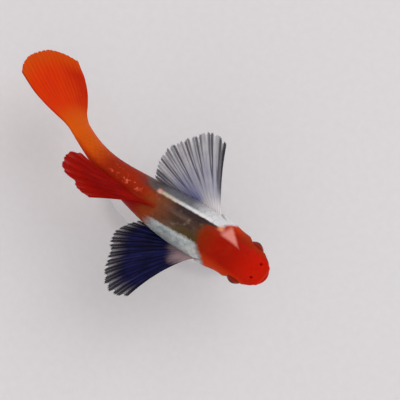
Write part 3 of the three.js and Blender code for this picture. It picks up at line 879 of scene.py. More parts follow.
def cap_colour(finish, at):
    cheek = at.left.step(1.7, 2.5) * at.length.step(0.2, 0.15) * at.height.step(-0.5, 0.6)
    return finish.coats(
        finish.blend(at.length.step(0.02, 0.2), paint(192, 20, 0), paint(150, 16, 0)),
        light_clouds=(at.broad.step(0.4, 0.75) * 0.5, paint(166, 32, 4)),
        brown_nape=(at.along.step(0.22, 0.32) * 0.65, paint(116, 44, 8)),
        dark_grain=(at.fine.step(0.5, 0.75) * 0.35, paint(122, 10, 0)),
        # Brighter orange on both sides of the head: painted rim light.
        orange_sides=(abs(at.across).step(2.0, 3.2) * 0.6, paint(204, 60, 8)),
        dark_cheek=(cheek * 0.5, paint(122, 46, 12)),
    )


def bare_wedge(at):
    """A wedge that widens from its tip, in mm along and across the fish."""
    ahead = at.length * STANDARD_LENGTH - WEDGE_TIP[0]
    aside = at.across + at.wobble * 0.25 - WEDGE_TIP[1]
    along = ahead * WEDGE_WAY[0] + aside * WEDGE_WAY[1]
    off = abs(ahead * -WEDGE_WAY[1] + aside * WEDGE_WAY[0])
    inside = (along * WEDGE_SPREAD - off).step(-0.2, 0.34)
    return inside * along.step(WEDGE_LENGTH + 0.4, WEDGE_LENGTH - 0.5) * at.height.step(0.5, 1.1)


def with_cap(finish, at, body):
    bow = CAP_END - CAP_CURVE * at.across * at.across - at.across.step(1.2, 1.9) * 0.035
    ahead = bow - (at.length + at.fray * 0.6)
    upper = (at.height - at.length.step(0.1, 0.3) * 1.5 + at.wobble * 0.9).step(-2.6, -1.4)
    border = ahead.step(-0.03, -0.004) * upper * at.across.step(1.7, 1.1)
    speck = (at.length + at.fray * 0.5).near(0.258, 44) * at.across.near(1.8, 1.7)
    speck = speck * at.height.step(0.5, 1.2)
    return finish.coats(
        body,
        brown_border=(border * 0.6, paint(96, 50, 14)),
        cap=(ahead.step(-0.011, 0.011) * upper, cap_colour(finish, at)),
        bare_wedge=(bare_wedge(at) * 0.95, paint(216, 132, 120)),
        pale_speck=(speck * 0.8, paint(228, 150, 116)),
    )


whole_body = with_cap(guppy_skin, places, middle_and_rear)
print("the cap ends", round(CAP_END * STANDARD_LENGTH, 1), "mm behind the snout")

# %% [markdown]
# ## Small marks and the skin's finish
# Slits, pits and edges look darker than the skin round them, because little light gets into them, and
# the lips are paler. The render would show some of this by itself, but at this size it helps to paint
# that shade into the marks too. The silvery flanks get a little metal, as the crystals in the skin do.

# %% Small marks and the skin's finish
def with_marks(finish, at, body):
    return finish.coats(
        body,
        scale_edges=(at.edge.step(0.82, 1.0) * 0.2, paint(30, 16, 12)),
        lips=(finish.field("lips").step(0.2, 1.0) * 0.35, paint(204, 72, 48)),
        # The mouth's slit, the nostril pits, the lines behind the gill covers and the rims round the eyes
        # get painted shade.
        mouth=(finish.field("mouth") * 0.85, paint(52, 6, 2)),
        nostrils=(finish.field("nostril").step(0.3, 0.9) * 0.8, paint(50, 6, 2)),
        gill_lines=(finish.field("gill") * 0.55, paint(70, 16, 8)),
        eye_rims=(finish.field("socket") * 0.85, paint(40, 12, 6)),
    )


colour = with_marks(guppy_skin, places, whole_body)
silver = (1 - on_back * 0.8) * places.length.step(0.3, 0.36) * drift.step(REAR_START, REAR_START - 0.04)
guppy_skin.feed(Base_Color=colour, Metallic=silver * 0.35, Roughness=0.36 + places.fine * 0.16)
guppy_skin.bump(places.grain * 0.5 + places.fine * 0.5, 0.25, 0.00005)
print("the skin's finish has", len(guppy_skin.tree.nodes), "nodes")

# %% [markdown]
# ## The skin as one piece
# Now the forms and the finish come together. Each point of the mesh keeps its share of the length
# and its place across and up the body, which the colours are laid out by, and the marks of the
# small forms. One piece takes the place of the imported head, trunk and tail stem.

# %% Make the skin
def make_skin(finish):
    skin, lines = skin_shape()
    points, marks = press_details(skin)
    ends = np.array([0.0, SKIN_END])
    fields = {"length": (skin.u, ends), "across": (skin.side, [0, 0]), "height": (skin.height, [1, 0])}
    for mark, values in {**marks, **lines}.items():
        fields[mark] = (values, [0, 0])
    end_points = body_point(ends, np.zeros(2), widest_level(ends))
    make_tube("skin", points, end_points, fields, finish=finish, slot="skin_red",
              nodes=["head", "trunk", "tail_stem"])


make_skin(guppy_skin)

# %% [markdown]
# ## The eyes
# A fish has no lids: the ball of the eye fills a round opening in the skin, with a flat black pupil
# inside a metallic iris. A clear dome could cover it, but at this size one ball is enough, which
# bulges slightly over the pupil. The skin closes in on it. From above, the iris is seen edge on and
# looks dark red.

# %% Eye finish
PUPIL = 0.3
PUPIL_EDGE = 0.03


def eye_finish():
    finish = Finish("eye_gloss", Coat_Weight=0.04, Coat_Roughness=0.02, Specular_IOR_Level=0.05)
    out = finish.field("from_middle")
    over = finish.field("over")
    streaks = finish.noise(finish.place(finish.field("spoke") * 9.0, out * 3.0), 2.0, 3.0)
    ring = out.near(PUPIL + PUPIL_EDGE, 30, full=0.8) * over.step(0.4, 0.0)
    colour = finish.coats(
        finish.blend(streaks, paint(122, 92, 48), paint(196, 170, 112)),
        red_above=((over + (streaks - 0.5) * 0.4).step(-0.05, 0.4), paint(138, 26, 2)),
        silver_below=(over.step(-0.2, -0.8) * 0.7, paint(196, 196, 188)),
        # Darker round the ball's edge, where it goes into its socket: painted shade.
        dark_rim=(out.step(0.54, 0.66) * 0.8, paint(96, 20, 4)),
        bright_ring=(ring * 0.8, paint(226, 196, 120)),
        pupil=(out.step(PUPIL + PUPIL_EDGE, PUPIL), paint(6, 5, 6)),
    )
    metal = out.step(PUPIL, PUPIL + 0.05) * over.step(0.5, 0.1) * 0.5
    finish.feed(Base_Color=colour, Metallic=metal, Roughness=0.22 + streaks * 0.1)
    return finish


eye_gloss = eye_finish()
print("the pupil is about", round(2 * EYE_RADIUS * math.sin(PUPIL * math.pi / 2), 1), "mm wide")

# %% Eyes
EYE_RINGS = 48
EYE_SPOKES = 72
EYE_SPAN = (0.006, 0.75)
EYE_DOME = 0.05
EYE_DOME_WIDTH = 0.55


def make_eye(name, side, node):
    """A ball in rings, from its outermost point inwards over this span of a half turn."""
    rings = np.linspace(*EYE_SPAN, EYE_RINGS) * math.pi
    ring, spoke = np.meshgrid(rings, full_turn(EYE_SPOKES), indexing="ij")
    dome = 1 + EYE_DOME * hump(np.sin(np.minimum(ring, math.pi / 2)), EYE_DOME_WIDTH)
    long = np.sin(ring) * np.cos(spoke) * EYE_RADIUS
    tall = np.sin(ring) * np.sin(spoke) * EYE_RADIUS
    wide = np.cos(ring) * EYE_DEPTH * dome
    at, forward, left, up = frame_at(EYE_STATION)
    outwards = left * side
    middle = at + outwards * EYE_SIDE + up * EYE_HEIGHT
    points = middle + forward * long[..., None] + outwards * wide[..., None] + up * tall[..., None]
    ends = [middle + outwards * EYE_DEPTH * (1 + EYE_DOME), middle + outwards * wide[-1, 0]]
    fields = {
        "from_middle": (ring / (math.pi / 2), [0, 2 * EYE_SPAN[1]]),
        "over": (np.sin(spoke) * np.sin(ring), [0, 0]),
        "spoke": (np.cos(spoke), [0, 0]),
    }
    make_tube(name, points, ends, fields, finish=eye_gloss, slot="eye", nodes=[node])


make_eye("left_eye", 1, "eye_left")
make_eye("right_eye", -1, "eye_right")

# %% [markdown]
# ## How a fin is built
# A fin is a film held out by bony rays that fork and fork again towards the margin. It could be a flat
# card with a picture on it, but then its rays would be only painted. Here one thin sheet is raised
# along every branch of every ray, and the film between branches ends a little short of their tips,
# which gives the frayed margin.

# %% Ray pattern
COLUMNS_PER_RAY = 18
FIRST_FORK = (0.34, 0.72)
SECOND_FORK = (0.66, 0.98)
FIRST_SPREAD = 0.19
SECOND_SPREAD = 0.08


def branch_distance(phase, r):
    """How far across, in spaces between rays, each point is from the nearest branch of a ray."""
    off = np.abs(phase - np.round(phase))
    first = FIRST_SPREAD * soft_step(r, *FIRST_FORK)
    second = SECOND_SPREAD * soft_step(r, *SECOND_FORK)
    return np.abs(np.abs(off - first) - second)


def even_thickness(root, film, tip):
    """A fin's thickness in mm from its root to its film and its tip, the same all across it."""

    def at(r, _):
        near = mixed(root, film, soft_step(r, 0, 0.22))
        return mixed(near, tip, soft_step(r, 0.3, 1))

    return at


print("each ray has all its 4 branches from", SECOND_FORK[1], "of its length")

# %% [markdown]
# ## Fins as sheets with two faces
# A fin's own formula gives the middle of its sheet, for every share of the way out and across. The two
# faces lie half a thickness to either side of it, and further where a ray runs. Seeded random numbers
# make some rays shorter, so that no two fins fray alike, and yet each run gives the same fish.

# %% Fin margins
TIPS_PER_RAY = 4
GAP_DEPTHS = (0.25, 1)
WIDE_GAPS = 0.55
FINE_GAPS = 0.3
UNEVEN_TIPS = 0.5


def frayed_margin(rays, across, seed):
    """How uneven the tips are across a fin, from -1 to 1, and how many frays short each place is."""
    luck = np.random.default_rng(seed)
    tip_places = np.arange(rays * TIPS_PER_RAY + 2)
    tips = np.interp(across * TIPS_PER_RAY, tip_places, luck.uniform(-1, 1, tip_places.shape))
    depth = luck.uniform(*GAP_DEPTHS, rays)[np.minimum(across.astype(int), rays - 2)]
    from_branch = branch_distance(across, np.ones_like(across))
    wide = WIDE_GAPS * depth * soft_step(from_branch, 0.04, 0.22)
    fine = FINE_GAPS * soft_step(from_branch, 0.015, 0.06)
    return tips, wide + fine + UNEVEN_TIPS * (0.5 + 0.5 * tips)


print("for one seed, the tips are uneven by", frayed_margin(3, np.linspace(0, 2, 5), 1)[0].round(2))

# %% Fin sheets
FRAY_FROM = 0.55
ROW_CROWDING = 0.9
RAY_WIDTH = (0.24, 0.085)
RAY_FADE = 0.6
NORMAL_REACH = 0.004


def sheet_normals(surface, r, v):
    down = surface(r + NORMAL_REACH, v) - surface(r - NORMAL_REACH, v)
    over = surface(r, v + NORMAL_REACH) - surface(r, v - NORMAL_REACH)
    return unit(np.cross(down, over))


def fin_grid(surface, rays, rows, thickness, ray_height, fray, seed, wave=0.0, ray_width=RAY_WIDTH):
    """Both faces of a fin as points, with the numbers that its finish reads."""
    across = np.linspace(0, rays - 1, COLUMNS_PER_RAY * (rays - 1) + 1)
    tips, missing = frayed_margin(rays, across, seed)
    r, phase = np.meshgrid(np.linspace(0, 1, rows + 1) ** ROW_CROWDING, across, indexing="ij")
    reach = r * (1 - fray * missing * soft_step(r, FRAY_FROM, 1.0))
    ray = hump(branch_distance(phase, r), mixed(*ray_width, r))
    v = phase / (rays - 1)
    ripple = wave * np.sin(phase * 2 * math.pi + tips * 0.6) * soft_step(r, 0.2, 1)
    normal = sheet_normals(surface, reach, v)
    middle = surface(reach, v) + normal * ripple[..., None]
    proud = (thickness(r, v) / 2 + ray_height * ray * (1 - RAY_FADE * r))[..., None]
    return middle + normal * proud, middle - normal * proud, dict(out=r, fan=v, ray=ray)


print("between two rays, a fin has", COLUMNS_PER_RAY, "columns of faces")

# %% Fin pieces
def fin_faces(rows, columns):
    def index(i, j, face):
        return (face * rows + i) * columns + j

    i, j = np.meshgrid(np.arange(rows - 1), np.arange(columns - 1), indexing="ij")
    top = np.stack([index(i, j, 0), index(i + 1, j, 0), index(i + 1, j + 1, 0), index(i, j + 1, 0)], -1)
    under = np.stack([index(i, j, 1), index(i, j + 1, 1), index(i + 1, j + 1, 1), index(i + 1, j, 1)], -1)
    faces = top.reshape(-1, 4).tolist() + under.reshape(-1, 4).tolist()
    rim = [(0, j) for j in range(columns - 1)]
    rim += [(i, columns - 1) for i in range(rows - 1)]
    rim += [(rows - 1, j) for j in range(columns - 1, 0, -1)]
    rim += [(i, 0) for i in range(rows - 1, 0, -1)]
    for (i, j), (k, m) in zip(rim, rim[1:] + rim[:1]):
        faces.append((index(i, j, 0), index(k, m, 0), index(k, m, 1), index(i, j, 1)))
    return faces


def make_fin(name, node, slot, finish, **shape):
    top, under, marks = fin_grid(**shape)
    rows, columns, _ = top.shape
    fields = {field: np.tile(values.ravel(), 2) for field, values in marks.items()}
    points = np.concatenate([top.reshape(-1, 3), under.reshape(-1, 3)])
    make_piece(name, points, fin_faces(rows, columns), fields, finish, slot, [node])


print("a sheet of 2 rows of 2 points has", len(fin_faces(2, 2)), "faces")

# %% [markdown]
# ## What fins have in common
# A fin's film is thin and lets light through, which an alpha lower than one gives. A volume inside it
# would be truer, but slow and far too fine for this size. All fins read how far out, how far
# across and how near to a ray each point is, and have the same soft gloss.

# %% Fin finish
FIN_RELIEF = 0.04 * MM
FIN_RELIEF_STRENGTH = 0.3


class FinFinish(Finish):
    """The finish of a fin, with its measures at hand."""

    def __init__(self, name, **more):
        super().__init__(name, Coat_Weight=0.02, Coat_Roughness=0.2, Specular_IOR_Level=0.03, **more)
        self.out = self.field("out")
        self.fan = self.field("fan")
        self.ray = self.field("ray")

    def clouds(self, along, across, seed, detail=4.0, roughness=0.6):
        """Noise with so many changes along the rays and across them. The seed shifts it."""
        return self.noise(self.place(self.out * along, self.fan * across, seed), 1.0, detail, roughness)

    def close(self, colour, clear, cloud, relief):
        """Joins the colour, how clear the film is, its soft gloss and its fine relief."""
        self.feed(Base_Color=colour, Alpha=1 - clear, Roughness=0.4 + cloud * 0.2)
        self.bump(relief, FIN_RELIEF_STRENGTH, FIN_RELIEF)
        return self


print("a fin's fine relief is", round(FIN_RELIEF / MM, 3), "mm high")

# %% [markdown]
# ## The pectoral fins
# These are the pride of this kind of guppy: two fans as long as the head and more, spread wide like
# ears. They could be mirrored, but the left one is lifted more than the right one and has another
# outline, so each has its own measures: angles in degrees, and lengths in mm for shares of its fan.

# %% Pectoral shape
PECTORAL_STATION = 0.3
PECTORAL_HEIGHT = -0.7
PECTORAL_ROOT_DEPTH = 1.0
PECTORAL_CHORD = 2.6
PECTORAL_CHORD_WAY = (-0.75, -0.65)
PECTORAL_REAR = 3
PECTORAL_LIFT = math.radians(6)
PECTORAL_CUP = 0.5
LEFT_PECTORAL = dict(side=1, dihedral=28, front=70, bow=0.1, length=curve_through(
    [(0, 10.6), (0.075, 11.6), (0.2, 12.1), (0.4, 11.5), (0.62, 11.3), (0.83, 10.4), (1, 9.3)]))
RIGHT_PECTORAL = dict(side=-1, dihedral=5, front=66, bow=0.22, length=curve_through(
    [(0, 10.7), (0.11, 12.1), (0.21, 12.6), (0.31, 12.4), (0.45, 11.5), (0.6, 11.1), (0.75, 10.8),
     (0.88, 9.5), (1, 8)]))


def pectoral_surface(side, dihedral, front, bow, length):
    at, forward, left, up = frame_at(PECTORAL_STATION)
    root = at + left * side * (half_width(PECTORAL_STATION) - PECTORAL_ROOT_DEPTH) + up * PECTORAL_HEIGHT
    chord = unit(PECTORAL_CHORD_WAY[0] * forward + PECTORAL_CHORD_WAY[1] * up)
    tilt = math.radians(dihedral)

    def surface(r, v):
        fan = np.radians(mixed(front, PECTORAL_REAR, v) * (1 - bow * (1 - r)))[..., None]
        rise = np.sin(fan) * math.sin(tilt) + np.cos(fan) * math.sin(PECTORAL_LIFT)
        way = unit(-forward * np.cos(fan) + left * side * np.sin(fan) * math.cos(tilt) + up * rise)
        far = r * (length(v) + PECTORAL_ROOT_DEPTH)
        dome = PECTORAL_CUP * np.sin(math.pi * np.clip(v, 0, 1)) * r
        slide = PECTORAL_CHORD * (v - 0.5) * (1 - r)
        return root + chord * slide[..., None] + way * far[..., None] + up * dome[..., None]

    return surface


print("the left pectoral fin rises by", LEFT_PECTORAL["dihedral"], "degrees")

# %% [markdown]
# ## The colours of the pectoral fins
# The fish's left fin is milky, with smoky rays and a violet flush near its root. Its right one is deep
# navy, with black rays, a ragged grey margin and a pale root. Both start from a film of two close
# shades, and every further colour is a coat with a mask of its own.

# %% Pectoral finishes
def milky_finish():
    fin = FinFinish("milky_fin")
    out, fan, ray = fin.out, fin.fan, fin.ray
    cloud = fin.clouds(5.0, 7.0, 0.0)
    streak = fin.clouds(2.0, 60.0, 0.0, detail=3.0)
    bundle = fin.clouds(1.2, 15.0, 21.0, detail=1.0, roughness=0.5)
    violet = (fan + (cloud - 0.5) * 0.3).step(0.42, 0.72) * out.step(0.18, 0.3)
    violet = violet * (out + cloud * 0.2).step(0.85, 0.5)
    deep = (fan + (cloud - 0.5) * 0.2).step(0.76, 0.9) * out.step(0.16, 0.24) * out.step(0.6, 0.42)
    rear = (fan + (streak - 0.5) * 0.08).step(0.86, 0.97) * out.step(0.2, 0.45)
    smoke = ray.step(0.2, 0.8) * out.step(0.22, 0.6) * (bundle.step(0.3, 0.62) * 0.75 + 0.25)
    colour = fin.coats(
        fin.blend(cloud.step(0.3, 0.7), paint(176, 173, 180), paint(200, 197, 199)),
        violet=(violet * 0.85, paint(100, 104, 172)),
        deep_violet=(deep * 0.85, paint(48, 44, 92)),
        lilac=(out.step(0.25, 0.4) * out.step(0.9, 0.55) * 0.5, paint(158, 156, 184)),
        dusky_rear=(rear * 0.75, paint(74, 64, 84)),
        smoky_rays=(smoke * 0.85, paint(56, 54, 66)),
        smoky_film=(bundle.step(0.5, 0.7) * out.step(0.45, 0.8) * 0.45, paint(70, 68, 80)),
        dark_front=(fan.step(0.1, 0.045) * out.step(0.2, 0.5) * 0.9, paint(34, 32, 42)),
        white_root=((out + (cloud - 0.5) * 0.1).step(0.3, 0.16), paint(222, 216, 218)),
    )
    clear = (out.step(0.25, 0.55) * 0.4 + out.step(0.86, 0.99) * 0.3) * (1 - ray * 0.8)
    return fin.close(colour, clear, cloud, streak)


def navy_finish():
    fin = FinFinish("navy_fin")
    out, fan, ray = fin.out, fin.fan, fin.ray
    cloud = fin.clouds(5.0, 6.0, 3.0)
    streak = fin.clouds(2.0, 60.0, 3.0, detail=3.0)
    bundle = fin.clouds(1.2, 15.0, 31.0, detail=1.0, roughness=0.5)
    ragged = (out + (streak - 0.5) * 0.22 + (cloud - 0.5) * 0.1).step(0.78, 0.97)
    root = (out + (cloud - 0.5) * 0.16 + (streak - 0.5) * 0.1).step(0.36, 0.18)
    colour = fin.coats(
        fin.blend(cloud.step(0.35, 0.7), paint(13, 13, 44), paint(24, 24, 70)),
        light_streaks=(streak.step(0.56, 0.72) * cloud.step(0.4, 0.6) * 0.5, paint(64, 62, 100)),
        black_rays=(ray.step(0.25, 0.85) * (bundle.step(0.3, 0.6) * 0.6 + 0.3), paint(5, 4, 14)),
        grey_margin=(ragged, fin.blend(ray.step(0.3, 0.8), paint(86, 81, 88), paint(38, 35, 42))),
        dark_front=(fan.step(0.06, 0.01) * 0.6, paint(20, 16, 30)),
        pale_root=(root, paint(150, 126, 130)),
    )
    clear = (ragged * 0.2 + out.step(0.86, 0.99) * 0.35) * (1 - ray * 0.8)
    return fin.close(colour, clear, cloud, streak)


milky, navy = milky_finish(), navy_finish()
print("nodes in the pectoral fins' finishes:", len(milky.tree.nodes), "and", len(navy.tree.nodes))

# %% [markdown]
# ## The pectoral fins as pieces
# Thirteen rays carry each fan, and between them the film bulges a little up and down, which gives it a
# pleated look. The sheet is thick at its root, where it goes into the flank, and as thin as paper at
# its margin.

# %% Pectoral fins
PECTORAL_SHAPE = dict(rays=13, rows=84, thickness=even_thickness(1.0, 0.16, 0.07), ray_height=0.05,
                      fray=0.055, wave=0.07)

make_fin("left_pectoral", "pectoral_fin_left", "fin_pale", milky,
         surface=pectoral_surface(**LEFT_PECTORAL), seed=3, **PECTORAL_SHAPE)
make_fin("right_pectoral", "pectoral_fin_right", "fin_navy", navy,
         surface=pectoral_surface(**RIGHT_PECTORAL), seed=5, **PECTORAL_SHAPE)

# %% [markdown]
# ## The dorsal fin
# The dorsal fin is long and too soft to stand, so it trails back and falls over to the right. A cloth
# simulation could drop it, but a formula gives the same fall each time. Its sheet follows the bend of
# the back and leans further the further out it is.

# %% Dorsal shape
DORSAL_FROM = 0.5
DORSAL_TO = 0.62
DORSAL_ROOT_DEPTH = 0.8
DORSAL_NOTCH = 0.06
DORSAL_NOTCH_PLACE = 0.33
DORSAL_NOTCH_WIDTH = 0.09
DORSAL_STEP = (0.9, 0.6)
DORSAL_SWEEP = 1.3
DORSAL_ROOT_LEAN = 7
DORSAL_TIP_LEAN = (45, 20)
dorsal_rise = curve_through([(0, 24), (0.2, 23), (0.5, 20), (0.75, 12), (1, 2)])
dorsal_length = curve_through([(0, 9.4), (0.2, 10.6), (0.5, 11.7), (0.62, 11.8), (0.75, 11.5), (0.88, 10.7),
                               (1, 9.2)])


def dorsal_surface(r, v):
    r = r * (1 - DORSAL_NOTCH * hump(v - DORSAL_NOTCH_PLACE, DORSAL_NOTCH_WIDTH))
    rise = np.radians(dorsal_rise(v))
    reach = dorsal_length(v) * r
    u = mixed(DORSAL_FROM, DORSAL_TO, v) + reach * np.cos(rise) / STANDARD_LENGTH
    height = dorsal_length(v) * np.sin(rise) * np.maximum(r, 0) ** DORSAL_SWEEP
    height = height - DORSAL_ROOT_DEPTH * (1 - r) + mixed(*DORSAL_STEP, v) * soft_step(r, 0, 0.25)
    lean = np.radians(mixed(DORSAL_ROOT_LEAN, mixed(*DORSAL_TIP_LEAN, v), r))
    return body_point(u, -height * np.sin(lean), back(u) + height * np.cos(lean))


print("the dorsal fin is up to", float(dorsal_length(0.62)), "mm long")

# %% Dorsal fin
def dark_red_finish():
    fin = FinFinish("dark_red_fin", Subsurface_Weight=0.15, Subsurface_Scale=0.0005)
    out, ray = fin.out, fin.ray
    cloud = fin.clouds(4.0, 5.0, 7.0)
    colour = fin.coats(
        fin.blend(cloud.step(0.35, 0.7), paint(122, 2, 0), paint(146, 10, 0)),
        bright_margin=(out.step(0.7, 1.0) * 0.6, paint(172, 20, 2)),
        dark_rays=(ray.step(0.3, 0.9) * 0.3, paint(94, 0, 0)),
        rusty_root=((out + (cloud - 0.5) * 0.1).step(0.26, 0.1), paint(134, 46, 14)),
    )
    return fin.close(colour, out.step(0.8, 1.0) * (1 - ray) * 0.2, cloud, cloud)


make_fin("dorsal", "dorsal_fin", "fin_dark_red", dark_red_finish(), surface=dorsal_surface, rays=8, rows=84,
         thickness=even_thickness(0.9, 0.2, 0.08), ray_height=0.025, fray=0.02, seed=8, wave=0.1)

# %% [markdown]
# ## The tail fin
# The tail fin is a broad rounded fan, seen half edge on because the rear body rolls over to the
# right. A flat card could be turned to that angle, but here the fin goes on bending and rolling in the
# body's own frame. Its root has the lens-shaped section of the stem, and it thins out to a film.

# %% Tail fin shape
CAUDAL_ROOT_DEPTH = 0.8
CAUDAL_ROOT_THICKNESS = 1.45
CAUDAL_FILM = (0.3, 0.09)
THINNEST_LENS = 0.02
caudal_length = curve_through([(-1, 10.1), (-0.64, 11.4), (-0.3, 12.2), (0, 12.5), (0.5, 12.1), (0.8, 11.1),
                               (1, 9.8)])
caudal_upper = curve_through([(-1, 2.15), (0, 2.15), (1.5, 2.45), (3.3, 3.4), (4.7, 4.15), (6.8, 5),
                              (10, 5.6), (12, 5.8)])
caudal_lower = curve_through([(-1, 2.15), (0, 2.15), (1.8, 2.75), (3.3, 3.8), (5.2, 4.75), (7.5, 5.2),
                              (9, 5.1), (12, 5)])


def caudal_surface(r, v):
    across = 1 - 2 * v
    reach = (caudal_length(across) + CAUDAL_ROOT_DEPTH) * r - CAUDAL_ROOT_DEPTH
    lobe = np.where(across > 0, caudal_upper(reach), caudal_lower(reach))
    return body_point(1 + reach / STANDARD_LENGTH, np.zeros_like(r), across * lobe)


def caudal_thickness(r, v):
    lens = CAUDAL_ROOT_THICKNESS * np.sqrt(np.maximum(1 - (1 - 2 * v) ** 2, THINNEST_LENS))
    film = mixed(*CAUDAL_FILM, soft_step(r, 0.3, 1))
    return mixed(lens, film, soft_step(r, 0, 0.38))


print("the tail fin is up to", float(caudal_length(0.0)), "mm long")

# %% Tail fin
def orange_finish():
    fin = FinFinish("orange_fin", Subsurface_Weight=0.2, Subsurface_Scale=0.0006)
    out, fan, ray = fin.out, fin.fan, fin.ray
    cloud = fin.clouds(3.0, 4.0, 11.0)
    streak = fin.clouds(1.5, 42.0, 11.0, detail=3.0)
    red_rays = ray.step(0.25, 0.9) * 0.22 * (streak * 0.8 + 0.4).least(1.0)
    colour = fin.coats(
        fin.blend(fan.step(0.45, 0.95), paint(205, 46, 0), paint(180, 32, 0)),
        orange_clouds=(cloud.step(0.35, 0.7) * 0.4, paint(212, 60, 0)),
        pale_margin=(out.step(0.72, 1.0) * 0.8, paint(202, 78, 0)),
        # The margin is painted a brighter orange: painted light, the glow of light through the thin film.
        root_like_the_stem=(out.step(0.42, 0.14), paint(206, 84, 4)),
        red_rays=(red_rays, paint(160, 22, 0)),
        bright_streaks=(streak.step(0.55, 0.75) * 0.3 * out.step(0.1, 0.3), paint(222, 92, 8)),
        dark_edge=(fan.step(0.035, 0.0) * out.step(0.4, 0.9) * 0.6, paint(126, 36, 4)),
    )
    return fin.close(colour, out.step(0.8, 1.0) * (1 - ray) * 0.15, cloud, streak)


make_fin("tail_fan", "caudal_fin", "fin_orange", orange_finish(), surface=caudal_surface, rays=16, rows=96,
         thickness=caudal_thickness, ray_height=0.02, fray=0.012, seed=12, wave=0.025,
         ray_width=(0.3, 0.11))

# %% [markdown]
# ## The small fins below
# Under the belly lie two small pelvic fins. They are hidden in the main view, but the fish is shown
# from all sides. They are the same fan mirrored, swept back along the belly and a little outwards,
# in a film that is nearly clear.

# %% Pelvic shape
PELVIC_STATION = 0.375
PELVIC_SIDE = 0.8
PELVIC_ROOT_DEPTH = 0.5
PELVIC_LENGTH = 3.8
PELVIC_ROUNDING = 0.25
PELVIC_CHORD = 1.0
PELVIC_SPREAD = 26
PELVIC_OUTWARDS = 20
PELVIC_DOWN = math.radians(17)


def pelvic_surface(side):
    at, forward, left, up = frame_at(PELVIC_STATION)
    root = at + left * side * PELVIC_SIDE + up * (belly(PELVIC_STATION) + PELVIC_ROOT_DEPTH)

    def surface(r, v):
        fan = np.radians(PELVIC_OUTWARDS + PELVIC_SPREAD * (0.5 - v))[..., None]
        way = unit(-forward * np.cos(fan) + left * side * np.sin(fan) - up * math.sin(PELVIC_DOWN))
        far = r * (PELVIC_LENGTH + PELVIC_ROOT_DEPTH) * (1 - PELVIC_ROUNDING * (2 * v - 1) ** 2)
        slide = PELVIC_CHORD * (0.5 - v) * (1 - r)
        drop = PELVIC_ROOT_DEPTH * 2 * np.minimum(r, 0.25)
        return root + forward * slide[..., None] + way * far[..., None] - up * drop[..., None]

    return surface


print("each pelvic fin is up to", PELVIC_LENGTH, "mm long")

# %% Pelvic fins
def clear_finish():
    fin = FinFinish("clear_fin")
    out, ray = fin.out, fin.ray
    cloud = fin.clouds(4.0, 3.0, 15.0, detail=3.0)
    colour = fin.coats(
        fin.blend(cloud, paint(186, 170, 164), paint(204, 190, 184)),
        orange_margin=(out.step(0.5, 1.0) * 0.6, paint(196, 118, 84)),
        dark_rays=(ray.step(0.3, 0.9) * 0.4, paint(128, 104, 100)),
    )
    return fin.close(colour, out.step(0.3, 0.8) * (1 - ray * 0.8) * 0.4, cloud, cloud)


PELVIC_SHAPE = dict(rays=6, rows=40, thickness=even_thickness(0.5, 0.16, 0.08), ray_height=0.05, fray=0.08)

clear = clear_finish()
for name, side, seed in (("left", 1, 21), ("right", -1, 19)):
    make_fin(f"{name}_pelvic", f"pelvic_fin_{name}", "fin_clear", clear,
             surface=pelvic_surface(side), seed=seed, **PELVIC_SHAPE)

# %% [markdown]
# ## The anal fin
# A male guppy's anal fin is a slender rod of fused rays. A sheet would look wrong for it, so it is a
# closed tube, taller than wide, with grooves between its six rays and faint rings where their
# joints are. It starts inside the belly and runs back and slightly up.

# %% Anal fin
ANAL_STATION = 0.515
ANAL_ROOT_DEPTH = 0.6
ANAL_SUNK = 0.9
ANAL_LENGTH = 5.4
ANAL_RISE = math.radians(12)
ANAL_ROOT_RADIUS = 0.5
ANAL_TIP_RADIUS = 0.27
ANAL_SECTION = (0.8, 1.25)
ANAL_RAYS = 6
ANAL_GROOVES = 0.03
ANAL_RINGS = 0.018
ANAL_ROWS = 90
ANAL_COLUMNS = 40
ANAL_LAST_ROW = 0.995


def anal_radius(t, angle):
    round_tip = np.sqrt(1 - np.maximum(t * 1.25 - 0.25, 0) ** 6)
    joints = ANAL_RINGS * np.cos(t * ANAL_ROWS / 4 * 2 * math.pi) * soft_step(t, 0.3, 0.5)
    grooves = ANAL_GROOVES * np.cos(angle * ANAL_RAYS) * soft_step(t, 0.1, 0.3)
    return mixed(ANAL_ROOT_RADIUS, ANAL_TIP_RADIUS, t) * round_tip + joints + grooves


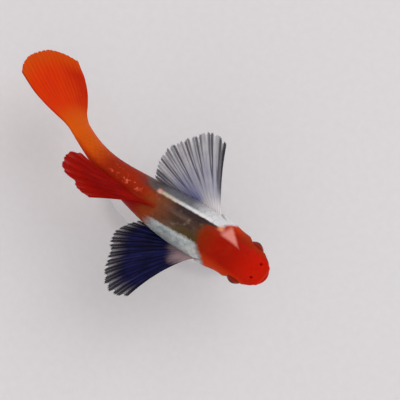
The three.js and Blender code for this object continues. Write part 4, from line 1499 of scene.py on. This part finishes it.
def make_anal_fin():
    at, forward, left, up = frame_at(ANAL_STATION)
    start = at + up * (belly(ANAL_STATION) - ANAL_ROOT_RADIUS * 0.4)
    rings = np.linspace(0, ANAL_LAST_ROW, ANAL_ROWS)
    t, angle = np.meshgrid(rings, full_turn(ANAL_COLUMNS), indexing="ij")
    way = -forward * math.cos(ANAL_RISE) + up * math.sin(ANAL_RISE)
    rise = up * math.cos(ANAL_RISE) + forward * math.sin(ANAL_RISE)
    far = mixed(-ANAL_ROOT_DEPTH, ANAL_LENGTH, t)
    sunk = ANAL_SUNK * (1 - soft_step(t, 0, 0.45))
    wide = anal_radius(t, angle) * np.cos(angle) * ANAL_SECTION[0]
    tall = anal_radius(t, angle) * np.sin(angle) * ANAL_SECTION[1]
    points = start + way * far[..., None] + up * sunk[..., None]
    points = points + left * wide[..., None] + rise * tall[..., None]
    ends = [start - way * ANAL_ROOT_DEPTH + up * ANAL_SUNK, start + way * ANAL_LENGTH]
    fields = {
        "out": (t, [0, 1]),
        "fan": (angle / (2 * math.pi), [0, 0]),
        "ray": (0.5 + 0.5 * np.cos(angle * ANAL_RAYS), [0, 0]),
    }
    make_tube("anal", points, ends, fields, finish=clear, slot="fin_clear", nodes=["anal_fin"])


make_anal_fin()

# %% [markdown]
# ## The stand
# The stand is a turned and painted metal foot with a steel pin. Its solids are already right, so they
# stay, and only get a finish: a fine powder coat on the foot, and on the pin the fine rings
# that turning leaves, which are noise that is pressed flat along it.

# %% Stand finishes
RING_PRESSING = (400, 400, 9000)


def powder_coat():
    finish = Finish("powder_coat", Specular_IOR_Level=0.4)
    place = finish.own_place()
    grain = finish.noise(place, 2600.0, 3.0, 0.6)
    colour = finish.blend(finish.noise(place, 160.0), paint(203, 200, 201), paint(211, 209, 210))
    finish.feed(Base_Color=colour, Roughness=0.5 + grain * 0.2)
    finish.bump(grain, 0.2, 0.00003)
    return finish


def brushed_steel():
    finish = Finish("brushed_steel", Specular_IOR_Level=0.5)
    inputs = {"Vector": finish.own_place(), "Scale": RING_PRESSING}
    pressed = finish.node("ShaderNodeMapping", {"vector_type": "POINT"}, inputs)
    rings = finish.noise(Sum(finish, pressed.outputs[0]), 1.0, 3.0, 0.7)
    colour = finish.blend(rings, paint(176, 177, 180), paint(214, 214, 216))
    finish.feed(Base_Color=colour, Metallic=0.9 + rings * 0.1, Roughness=0.24 + rings * 0.2)
    finish.bump(rings, 0.15, 0.00002)
    return finish


def refinish(node, finish):
    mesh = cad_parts[node].data
    mesh.materials.clear()
    mesh.materials.append(finish.material)
    print(node, "is finished with", finish.material.name)


refinish("stand_base", powder_coat())
refinish("stand_rod", brushed_steel())

# %% [markdown]
# The visual model must be as large as the solids are, apart from a little.
